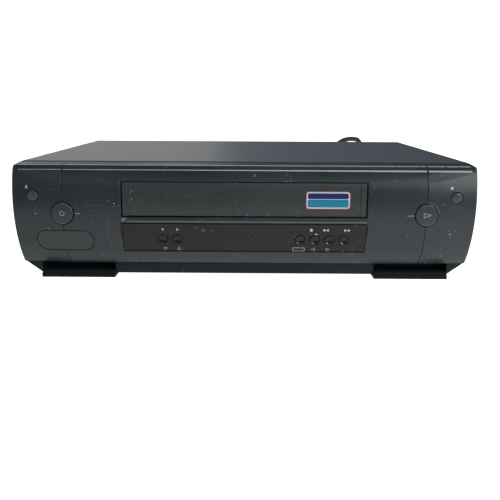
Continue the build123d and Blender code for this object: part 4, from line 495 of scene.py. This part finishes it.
@dataclass
class Studio:
    """The camera of the photograph, a pale floor and soft light."""

    focal_pixels: float = 618.0
    sensor: float = 36.0
    place: tuple[float, float, float] = (6.6, -478.8, 142.3)
    pitch: float = 13.69
    yaw: float = 0.24
    roll: float = 0.30
    floor_side: float = 14.0
    paper_glow: float = 1.1
    paper: tuple[float, ...] = (0.93, 0.93, 0.93, 1)
    # Painted light and shade of the floor as the object reflects it: lighter near, darker far off and to the
    # left.
    near_floor: tuple[float, ...] = (0.62, 0.65, 0.67, 1)
    far_floor: tuple[float, ...] = (0.20, 0.22, 0.23, 1)
    left_floor: tuple[float, ...] = (0.06, 0.08, 0.07, 1)
    bright_wall: tuple[float, ...] = (0.84, 0.83, 0.80, 1)
    front_room: tuple[float, ...] = (0.15, 0.17, 0.19)
    ceiling: tuple[float, ...] = (0.09, 0.10, 0.12, 1)
    lights: tuple[tuple, ...] = (
        ("key_light", (1.3, -1.5, 0.75), (0.0, -0.1, 0.06), (0.9, 0.6), 15.0),
        ("fill_light", (-1.6, -1.1, 1.0), (0.0, -0.1, 0.05), (0.9, 0.6), 2.5),
        ("top_light", (0.35, -0.2, 2.0), (0.0, 0.0, 0.09), (0.8, 0.8), 4.0),
    )

    def build(self) -> None:
        """Make the camera, the floor, the surroundings and the lights."""
        self.camera()
        self.floor()
        self.surroundings()
        for light in self.lights:
            self.soft_light(*light)

    def camera(self) -> None:
        """Place the camera where the photograph was taken."""
        data = bpy.data.cameras.new("camera")
        data.sensor_width = self.sensor
        data.lens = self.focal_pixels / PHOTO_SIDE * self.sensor
        data.clip_start, data.clip_end = 0.01, 100.0
        camera = bpy.data.objects.new("camera", data)
        bpy.context.scene.collection.objects.link(camera)
        aim = Matrix.Rotation(radians(self.yaw), 4, "Z") @ Matrix.Rotation(radians(90 - self.pitch), 4, "X")
        tilt = Matrix.Rotation(radians(self.roll), 4, "Z")
        camera.matrix_world = Matrix.Translation(spot(*self.place)) @ aim @ tilt
        bpy.context.scene.camera = camera

    def floor(self) -> None:
        """Lay a wide, matt, nearly white floor."""
        mesh = bpy.data.meshes.new("floor")
        bm = bmesh.new()
        bmesh.ops.create_grid(bm, x_segments=1, y_segments=1, size=self.floor_side)
        bm.to_mesh(mesh)
        bm.free()
        plane = bpy.data.objects.new("floor", mesh)
        bpy.context.scene.collection.objects.link(plane)
        mesh.materials.append(self.floor_paper())

    def floor_paper(self) -> bpy.types.Material:
        """White paper to the camera; in what the object reflects, painted light and shade: lighter and glowing
        near the object and to the right, darker far off and to the left.

        Returns:
            The material.
        """
        material = bpy.data.materials.new("floor_paper")
        material.use_nodes = True
        material.node_tree.nodes.clear()
        w = Wires(material.node_tree)
        seen = w.node("ShaderNodeLightPath").outputs["Is Camera Ray"]
        place = w.node("ShaderNodeSeparateXYZ", {0: w.node("ShaderNodeTexCoord").outputs["Object"]})
        near = w.ramp(place.outputs["Y"], -0.95, -0.25)
        painted_floor_tone = w.mix(near, self.far_floor, self.near_floor)
        sided = w.mix(w.ramp(place.outputs["X"], -0.5, 0.35, (0.75, 0.0)), painted_floor_tone, self.left_floor)
        color = w.mix(seen, sided, self.paper)
        shader = w.node("ShaderNodeBsdfPrincipled", {"Base Color": color, "Roughness": 0.9})
        shader.inputs["Specular IOR Level"].default_value = 0.0
        shader.inputs["Emission Color"].default_value = (1, 1, 1, 1)
        # Painted glow in reflections, brighter near the object and to the right.
        lit = w.math("MULTIPLY", near, w.ramp(place.outputs["X"], -0.6, 0.3, (0.45, 0.85)))
        hidden = w.math("MULTIPLY", w.math("SUBTRACT", 1.0, seen), lit)
        glow = w.math("ADD", w.math("MULTIPLY", seen, self.paper_glow), hidden)
        material.node_tree.links.new(glow, shader.inputs["Emission Strength"])
        out = w.node("ShaderNodeOutputMaterial")
        material.node_tree.links.new(shader.outputs[0], out.inputs[0])
        return material

    def surroundings(self) -> None:
        """A white backdrop that reflects as a soft room, lighter behind on the left."""
        world = bpy.data.worlds.new("studio")
        bpy.context.scene.world = world
        world.use_nodes = True
        world.node_tree.nodes.clear()
        w = Wires(world.node_tree)
        way = w.node("ShaderNodeTexCoord").outputs["Generated"]
        parts = w.node("ShaderNodeSeparateXYZ", {0: way})
        behind = w.ramp(parts.outputs["Y"], 0.0, 0.25)
        edge = w.math("DIVIDE", parts.outputs["X"], w.math("MAXIMUM", parts.outputs["Y"], 0.05))
        left = w.ramp(edge, -0.042, -0.062)
        right = w.ramp(edge, -0.05, 0.35, (0.27, 0.10))
        flat = w.mix(left, w.tint(right, 0.82, 1.16), self.bright_wall)
        fade = w.ramp(parts.outputs["Z"], 0.08, 0.42, (1.25, 0.5))
        low = w.node("ShaderNodeVectorMath", {0: flat, 1: fade}, operation="MULTIPLY").outputs[0]
        lift = parts.outputs["Z"]
        band = w.math("MULTIPLY", w.ramp(lift, 0.42, 0.54), w.ramp(lift, 0.72, 0.62))
        bright = w.math("MULTIPLY", band, w.ramp(parts.outputs["X"], -0.4, 0.5, (0.15, 2.4)))
        front = {0: w.tint(bright, 0.94, 1.04), 1: self.front_room}
        dim = w.node("ShaderNodeVectorMath", front, operation="ADD")
        room = w.mix(behind, dim.outputs[0], low)
        high = w.mix(w.ramp(lift, 0.68, 0.80), room, self.ceiling)
        soft = w.node("ShaderNodeBackground", {"Color": high, "Strength": 1.0})
        white = w.node("ShaderNodeBackground", {"Color": (1, 1, 1, 1), "Strength": 1.0})
        seen = w.node("ShaderNodeLightPath").outputs["Is Camera Ray"]
        both = w.node("ShaderNodeMixShader", {0: seen, 1: soft.outputs[0], 2: white.outputs[0]})
        out = w.node("ShaderNodeOutputWorld")
        world.node_tree.links.new(both.outputs[0], out.inputs[0])
        view = bpy.context.scene.view_settings
        view.view_transform, view.look = "Standard", "None"

    def soft_light(
        self, name: str, place: tuple, aim: tuple, size: tuple[float, float], watts: float
    ) -> None:
        """Hang one soft box.

        Args:
            name: the light's name.
            place: where it hangs, in metres.
            aim: the point that it faces, in metres.
            size: its two sides, in metres.
            watts: its power.
        """
        data = bpy.data.lights.new(name, "AREA")
        data.shape, data.size, data.size_y, data.energy = "RECTANGLE", size[0], size[1], watts
        light = bpy.data.objects.new(name, data)
        bpy.context.scene.collection.objects.link(light)
        turn = (Vector(aim) - Vector(place)).to_track_quat("-Z", "Y")
        light.matrix_world = Matrix.Translation(Vector(place)) @ turn.to_matrix().to_4x4()


# ---------------------------------------------------------------- mains lead


@dataclass
class MainsLead:
    """The mains lead, from its strain relief to the plug at the end of its put-away coil."""

    width: float = 5.6
    relief: tuple[float, float, float] = (137.0, 264.0, 80.5)
    tilt: float = 25.0
    relief_length: float = 20.0
    lead_start: float = 14.0
    lead_end: float = 11.0
    route: tuple[tuple[float, float, float], ...] = (
        (129.4, 309.4, 95.2),
        (120.4, 322.4, 92.4),
        (113.4, 333.0, 84.6),
        (108.6, 340.2, 71.8),
        (106.6, 344.8, 56.2),
        (106.0, 348.6, 40.8),
        (101.2, 351.6, 26.8),
        (93.6, 354.4, 15.0),
        (83.6, 357.4, 7.0),
        (72.0, 360.4, 3.4),
    )
    coil_x: float = 40.0
    coil_back: float = 322.0
    gap: float = 0.6
    turns: int = 3
    mean: float = 31.0
    climb_in: float = 1.7
    tail: float = 24.0
    points_a_turn: int = 16

    def coil_radius(self, turn: float) -> float:
        """Distance of the coil's line from its axis, at a count of turns."""
        pitch = self.width + self.gap
        outer = self.mean + pitch * self.turns / 2
        if turn <= self.turns:
            return outer - pitch * turn
        if turn >= self.turns + 0.5:
            return outer - pitch * self.turns + pitch * (turn - self.turns - 0.5)
        return outer - pitch * self.turns - self.climb_in * sin(2 * pi * (turn - self.turns)) ** 2

    def coil_point(self, turn: float) -> Vector:
        """A point of the coil's line, in millimetres, at a count of turns."""
        angle = pi / 2 + 2 * pi * turn
        radius = self.coil_radius(turn)
        share = min(max((turn - self.turns) / 0.5, 0), 1)
        height = self.width / 2 + (self.width + self.gap) * (1 - cos(pi * share)) / 2
        return Vector((self.coil_x + radius * cos(angle), self.coil_back + radius * sin(angle), height))

    def points(self) -> list[Vector]:
        """The control points of the whole lead.

        Returns:
            The points in millimetres, from the strain relief's tip to the plug.
        """
        step = 0.001
        total = 2 * self.turns + 0.5
        way = Vector((0, cos(radians(self.tilt)), sin(radians(self.tilt))))
        tip = Vector(self.relief) + way * self.relief_length
        into = (self.coil_point(step) - self.coil_point(0)).normalized()
        out = (self.coil_point(total) - self.coil_point(total - step)).normalized()
        start = self.coil_point(0) - into * self.width
        line = [tip, tip + way * self.lead_start, *(Vector(point) for point in self.route)]
        line += [start - into * self.lead_end, start]
        count = round(total * self.points_a_turn)
        line += [self.coil_point(total * index / count) for index in range(count + 1)]
        end = self.coil_point(total)
        return line + [end + out * self.tail / 2, end + out * self.tail]

    def build(self) -> bpy.types.Object:
        """Lay the lead.

        Returns:
            The lead's curve object.
        """
        points = [spot(*point) for point in self.points()]
        curve = bpy.data.curves.new("mains_lead", "CURVE")
        curve.dimensions = "3D"
        spline = curve.splines.new("NURBS")
        spline.points.add(len(points) - 1)
        for point, place in zip(spline.points, points):
            point.co = (*place, 1)
        spline.order_u = 3
        spline.use_endpoint_u = True
        curve.resolution_u = 6
        curve.bevel_depth = self.width / 2 * MM
        curve.bevel_resolution = 4
        curve.use_fill_caps = True
        curve.materials.append(CORD.material())
        lead = bpy.data.objects.new("mains_lead", curve)
        bpy.context.scene.collection.objects.link(lead)
        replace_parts(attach(lead, "chassis"), "cord_lead", "cord_coil")
        return lead


# ---------------------------------------------------------------- printed marks


class Mark:
    """One flat printed piece, made of outlines in the (x, z) plane and laid on what carries it."""

    def __init__(self, name: str, body: str, slot: str, finish: Finish, carriers: tuple[str, ...]) -> None:
        """Start an empty mark.

        Args:
            name: the piece's name.
            body: the body that it rides on.
            slot: the record's material slot; not used.
            finish: its finish.
            carriers: the nodes that it may lie on.
        """
        self.name, self.body, self.slot, self.finish = name, body, slot, finish
        self.trees = [self.tree(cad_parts[carrier]) for carrier in carriers]
        self.bm = bmesh.new()

    @staticmethod
    def tree(solid: bpy.types.Object) -> BVHTree:
        """A search tree of a solid's faces."""
        mesh = solid.data
        corners = [face.vertices for face in mesh.polygons]
        return BVHTree.FromPolygons([vert.co for vert in mesh.vertices], corners)

    def polygon(self, points: list[tuple[float, float]]) -> None:
        """Add one filled outline of (x, z) points in millimetres."""
        verts = [self.bm.verts.new((x * MM, 0, z * MM)) for x, z in points]
        self.bm.faces.new(verts)

    def disc(self, x: float, z: float, radius: float) -> None:
        """Add a filled circle."""
        turns = [2 * pi * step / CIRCLE_SIDES for step in range(CIRCLE_SIDES)]
        self.polygon([(x + radius * cos(turn), z + radius * sin(turn)) for turn in turns])

    def stroke(self, points: list[tuple[float, float]], width: float, closed: bool = False) -> None:
        """Add a line of even width through (x, z) points, as one quad a run.

        Args:
            points: the line's points, in millimetres.
            width: the line's width.
            closed: whether it comes back to its start.
        """
        ends = points + points[:1] if closed else points
        for (x0, z0), (x1, z1) in zip(ends, ends[1:]):
            way = Vector((x1 - x0, z1 - z0)).normalized() * width / 2
            side = Vector((-way.y, way.x))
            a, b = Vector((x0, z0)) - way, Vector((x1, z1)) + way
            self.polygon([tuple(a - side), tuple(b - side), tuple(b + side), tuple(a + side)])

    def arc(self, x: float, z: float, radius: float, width: float, start: float, sweep: float) -> None:
        """Add a part of a ring.

        Args:
            x: its middle, to the right.
            z: its middle, over the shelf.
            radius: the radius of its own line.
            width: the line's width.
            start: the angle at which it starts, in degrees.
            sweep: the angle that it covers, in degrees.
        """
        steps = max(round(sweep / 10), 3)
        turns = [radians(start + sweep * step / steps) for step in range(steps + 1)]
        for a, b in zip(turns, turns[1:]):
            inner, outer = radius - width / 2, radius + width / 2
            corners = ((inner, a), (outer, a), (outer, b), (inner, b))
            self.polygon([(x + r * cos(turn), z + r * sin(turn)) for r, turn in corners])

    def long_edges(self, cut: float) -> list[bmesh.types.BMEdge]:
        """The edges longer than a length in millimetres."""
        return [edge for edge in self.bm.edges if edge.calc_length() > cut * MM]

    def build(self, cut: float = 1.5, lift: float = INK_LIFT) -> bpy.types.Object:
        """Cut the outlines small, lay them on their carriers and make the piece.

        Args:
            cut: longest edge after cutting, in millimetres.
            lift: height over the carrier, in millimetres.

        Returns:
            The finished piece.
        """
        if self.long_edges(cut):
            bmesh.ops.triangulate(self.bm, faces=self.bm.faces[:])
        for _ in range(CUT_ROUNDS):
            long = self.long_edges(cut)
            if not long:
                break
            bmesh.ops.subdivide_edges(self.bm, edges=long, cuts=1, use_grid_fill=True)
            bmesh.ops.triangulate(self.bm, faces=self.bm.faces[:])
        for vert in self.bm.verts:
            start = Vector((vert.co.x, BEFORE_PANEL, vert.co.z))
            hits = [tree.ray_cast(start, Vector((0, 1, 0)))[0] for tree in self.trees]
            depths = [hit.y for hit in hits if hit is not None]
            vert.co.y = min(depths) - lift * MM if depths else 0
        self.bm.normal_update()
        wrong = [face for face in self.bm.faces if face.normal.y > 0]
        bmesh.ops.reverse_faces(self.bm, faces=wrong)
        mesh = bpy.data.meshes.new(self.name)
        self.bm.to_mesh(mesh)
        self.bm.free()
        mesh.materials.append(self.finish.material())
        piece = bpy.data.objects.new(self.name, mesh)
        bpy.context.scene.collection.objects.link(piece)
        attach(piece, self.body)
        LOG.info("%s: %d faces", self.name, len(mesh.polygons))
        return piece


@dataclass
class FrontMarks:
    """The generic symbols, the lamp, the blank label, the wear, and the painted highlights and shadows along
    the edges of the front.
    """

    line: float = 0.28
    round_x: float = 141.5
    round_z: float = 55.6
    corner_x: float = 164.2
    lamp: tuple[float, float] = (-32.0, 42.3)
    label_x: float = 65.0
    label_half: float = 17.0
    label_low: float = 60.0
    label_high: float = 73.3
    edge_end: float = 176.0
    edge_runs: int = 18
    edge_lift: float = 0.12
    seam_lift: float = 0.08
    edge_cut: float = 2.0
    # Heights of the painted highlights along the brow, the crest and the rail, and of the painted shadow under
    # the rail and round the window.
    brow_z: float = 88.9
    crest_z: float = 92.2
    rail_z: float = 49.7
    rail_seam_z: float = 47.7
    window: tuple[tuple[float, float], ...] = ((-96.5, 47.6), (-95.3, 24.3), (95.3, 24.3), (96.5, 47.6))
    scratches: tuple[tuple, ...] = (
        (0.22, ((-124.8, 61.9), (-110.0, 61.7))),
        (0.3, ((-103.4, 61.4), (-98.6, 61.0))),
        (0.25, ((-107.4, 58.6), (-106.6, 51.5), (-106.9, 40.0), (-105.6, 24.0))),
        (0.2, ((97.9, 73.5), (98.1, 70.0))),
    )

    def triangle(self, mark: Mark, x: float, z: float, size: float, turn: float, hollow: bool = False) -> None:
        """Add a triangle to a mark.

        Args:
            mark: the mark that it belongs to.
            x: its middle, to the right.
            z: its middle, over the shelf.
            size: the distance from its middle to a corner.
            turn: the angle along which it points, in degrees.
            hollow: whether only its outline is drawn.
        """
        corners = [radians(turn + step) for step in (0, 125, 235)]
        points = [(x + size * cos(corner), z + size * sin(corner)) for corner in corners]
        if hollow:
            mark.stroke(points, self.line * 0.8, closed=True)
        else:
            mark.polygon(points)

    def build(self) -> None:
        """Print the marks on the panel, the buttons and the window."""
        self.panel_marks()
        self.button_marks()
        self.window_marks()
        self.lamp_lens()
        self.label()
        self.wear_and_painted_light()

    def panel_marks(self) -> None:
        """The leader lines and the corner symbols on the panel."""
        mark = Mark("panel_marks", "chassis", "socket_white", INK, ("front_panel",))
        mark.stroke([(-132.3, 55.4), (-127.8, 55.4)], self.line)
        mark.stroke([(126.8, 55.0), (131.6, 55.0)], self.line)
        mark.polygon([(159.3, 75.5), (161.2, 75.5), (161.2, 77.4), (159.3, 77.4)])
        self.triangle(mark, -168.8, 76.4, 1.2, 90)
        mark.stroke([(-169.7, 75.0), (-167.9, 75.0)], 0.45)
        mark.build()

    def button_marks(self) -> None:
        """The symbols on the power and play buttons, each on its own button, and painted highlights on their
        rims.
        """
        power = Mark("power_mark", "power_button", "socket_white", INK, ("power_button",))
        power.arc(-self.round_x, self.round_z, 1.7, self.line, 120, 300)
        power.stroke([(-self.round_x, self.round_z + 0.6), (-self.round_x, self.round_z + 2.3)], self.line)
        power.build()
        play = Mark("play_mark", "play_button", "socket_white", INK, ("play_button",))
        x, z = self.round_x, self.round_z
        play.stroke([(x - 2.2, z - 1.8), (x + 3.4, z), (x - 2.2, z + 1.8)], self.line, closed=True)
        play.build()
        # Painted highlights: pale arcs on the rounded rims of the power and play buttons, where the light
        # catches them.
        rims = (
            ("power", -self.round_x, ((15, 85), (200, 85))),
            ("play", self.round_x, ((55, 75), (235, 100))),
        )
        for name, x, arcs in rims:
            rim = Mark(f"{name}_rim", f"{name}_button", "button_grey", RIM_HIGHLIGHT, (f"{name}_button",))
            for start, sweep in arcs:
                rim.arc(x, self.round_z, 7.9, 0.45, start, sweep)
            rim.build()

    def window_marks(self) -> None:
        """The symbols over and under the row of small buttons."""
        mark = Mark("window_marks", "chassis", "socket_white", INK, ("display_window",))
        over, under = 43.0, 26.5
        self.triangle(mark, -63.9, over, 1.2, 270)
        self.triangle(mark, -52.6, over, 1.2, 90)
        self.triangle(mark, -62.6, under, 1.6, 270, hollow=True)
        self.triangle(mark, -51.8, under, 1.6, 90, hollow=True)
        mark.disc(52.6, over, 1.2)
        for x, turn in ((62.7, 180), (65.4, 180), (79.2, 0), (81.9, 0)):
            self.triangle(mark, x, over, 1.4, turn)
        left, right, low, high = 38.5, 47.8, under - 1.4, under + 1.4
        mark.stroke([(left, low), (right, low), (right, high), (left, high)], self.line, closed=True)
        self.triangle(mark, 54.9, under, 1.6, 180, hollow=True)
        self.triangle(mark, 65.9, under, 1.6, 0, hollow=True)
        mark.build()

    def lamp_lens(self) -> None:
        """The small red lamp in the window."""
        lamp = Mark("record_lamp", "chassis", "socket_red", LAMP, ("display_window",))
        lamp.disc(*self.lamp, 1.7)
        lamp.build()

    def wear_and_painted_light(self) -> None:
        """The worn end of the rail, the painted highlight by the play button, the painted highlights and
        shadows along the edges, and the longer scratches.
        """
        worn = Mark("worn_spots", "chassis", "panel_grey", WORN, ("front_panel",))
        worn.polygon([(-95.4, 49.6), (-93.9, 50.3), (-91.2, 51.9), (-91.6, 52.8), (-95.0, 52.9)])
        worn.build()
        # Painted highlight on the lit upper right rim of the recess round the play button.
        crescent = Mark("play_crescent", "chassis", "panel_grey", RIM_HIGHLIGHT, ("front_panel",))
        crescent.arc(self.round_x, self.round_z, 9.7, 0.7, 8, 78)
        crescent.build()
        self.edges()
        fleck = Mark("window_fleck", "chassis", "socket_white", INK, ("display_window",))
        fleck.polygon([(55.3, 39.7), (56.0, 39.0), (57.6, 39.3), (57.2, 40.2)])
        fleck.build()
        scuffs = Mark("long_scratches", "chassis", "panel_grey", SCUFF, ("front_panel",))
        for width, points in self.scratches:
            scuffs.stroke(points, width)
        scuffs.build()

    def edges(self) -> None:
        """Painted highlights: pale strips where the edges shine, wider towards the right; painted shadow: dark
        strips in the gaps under the rail and round the window and the badge.
        """
        # Painted highlights along the brow and the crest, in strips that widen towards the right, where more
        # light falls.
        brow = Mark("brow_edge", "chassis", "panel_grey", EDGE_HIGHLIGHT, ("front_panel",))
        crest = Mark("crest_edge", "chassis", "panel_grey", EDGE_HIGHLIGHT, ("front_panel", "top_cover"))
        runs, end = self.edge_runs, self.edge_end
        for step in range(runs):
            x0, x1 = -end + 2 * end * step / runs, -end + 2 * end * (step + 1) / runs
            half = 0.16 + 0.44 * (step / (runs - 1)) ** 1.3
            for mark, z, rise in ((brow, self.brow_z, half), (crest, self.crest_z, half * 0.45)):
                mark.polygon([(x0, z - rise), (x1, z - rise), (x1, z + rise), (x0, z + rise)])
        brow.build(self.edge_cut, self.edge_lift)
        crest.build(self.edge_cut, self.edge_lift)
        # Painted highlight along the rounded crest of the rail.
        rail = Mark("rail_edge", "chassis", "panel_grey", RIM_HIGHLIGHT, ("front_panel",))
        rail.stroke([(-91.0, self.rail_z), (95.0, self.rail_z)], 0.8)
        rail.build(self.edge_cut, self.edge_lift)
        # Painted shadow: dark strips in the gap under the rail and round the window.
        seam = Mark("rail_seam", "chassis", "panel_grey", SEAM, ("front_panel", "display_window"))
        seam.stroke([(-95.0, self.rail_seam_z), (95.0, self.rail_seam_z)], 0.7)
        seam.stroke(self.window, 0.55)
        seam.build(self.edge_cut, self.seam_lift)
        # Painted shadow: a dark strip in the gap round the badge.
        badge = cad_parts["badge_plate"].data
        flat = [(vert.co.x / MM, vert.co.z / MM) for vert in badge.vertices]
        outline = Mark("badge_seam", "chassis", "panel_grey", SEAM, ("front_panel", "badge_plate"))
        outline.stroke([flat[step] for step in convex_hull_2d(flat)], 0.5, closed=True)
        outline.build(self.edge_cut)

    def label(self) -> None:
        """A plain coloured label on the door, with nothing printed on it."""
        x0, x1 = self.label_x - self.label_half, self.label_x + self.label_half
        low, high = self.label_low, self.label_high
        bands = (
            ("label_border", LABEL_EDGE, "socket_red", 0.0, low, high),
            ("label_sheet", LABEL_WHITE, "socket_white", 0.6, low + 0.6, high - 0.6),
            ("label_blue", LABEL_BLUE, "window_smoke", 1.2, high - 5.6, high - 1.2),
            ("label_teal", LABEL_TEAL, "socket_white", 1.2, low + 1.2, high - 6.0),
        )
        for layer, (name, finish, slot, inset, z0, z1) in enumerate(bands):
            mark = Mark(name, "cassette_door", slot, finish, ("cassette_door",))
            corner = 2.0 - inset * 0.7
            outline = []
            for cx, cz, start in (
                (x1 - inset - corner, z1 - corner, 0),
                (x0 + inset + corner, z1 - corner, 90),
                (x0 + inset + corner, z0 + corner, 180),
                (x1 - inset - corner, z0 + corner, 270),
            ):
                for step in range(5):
                    turn = radians(start + 22.5 * step)
                    outline.append((cx + corner * cos(turn), cz + corner * sin(turn)))
            mark.polygon(outline)
            piece = mark.build(3.0)
            for vert in piece.data.vertices:
                vert.co.y -= layer * INK_LIFT / 2 * MM


# ---------------------------------------------------------------- the whole picture


def main() -> None:
    """Build the picture, sub-assembly by sub-assembly."""
    logging.basicConfig(level=logging.INFO, format="%(message)s")
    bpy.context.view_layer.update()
    Studio().build()
    MainsLead().build()
    dress_nodes()
    FrontMarks().build()


if __name__ == "__main__":
    main()
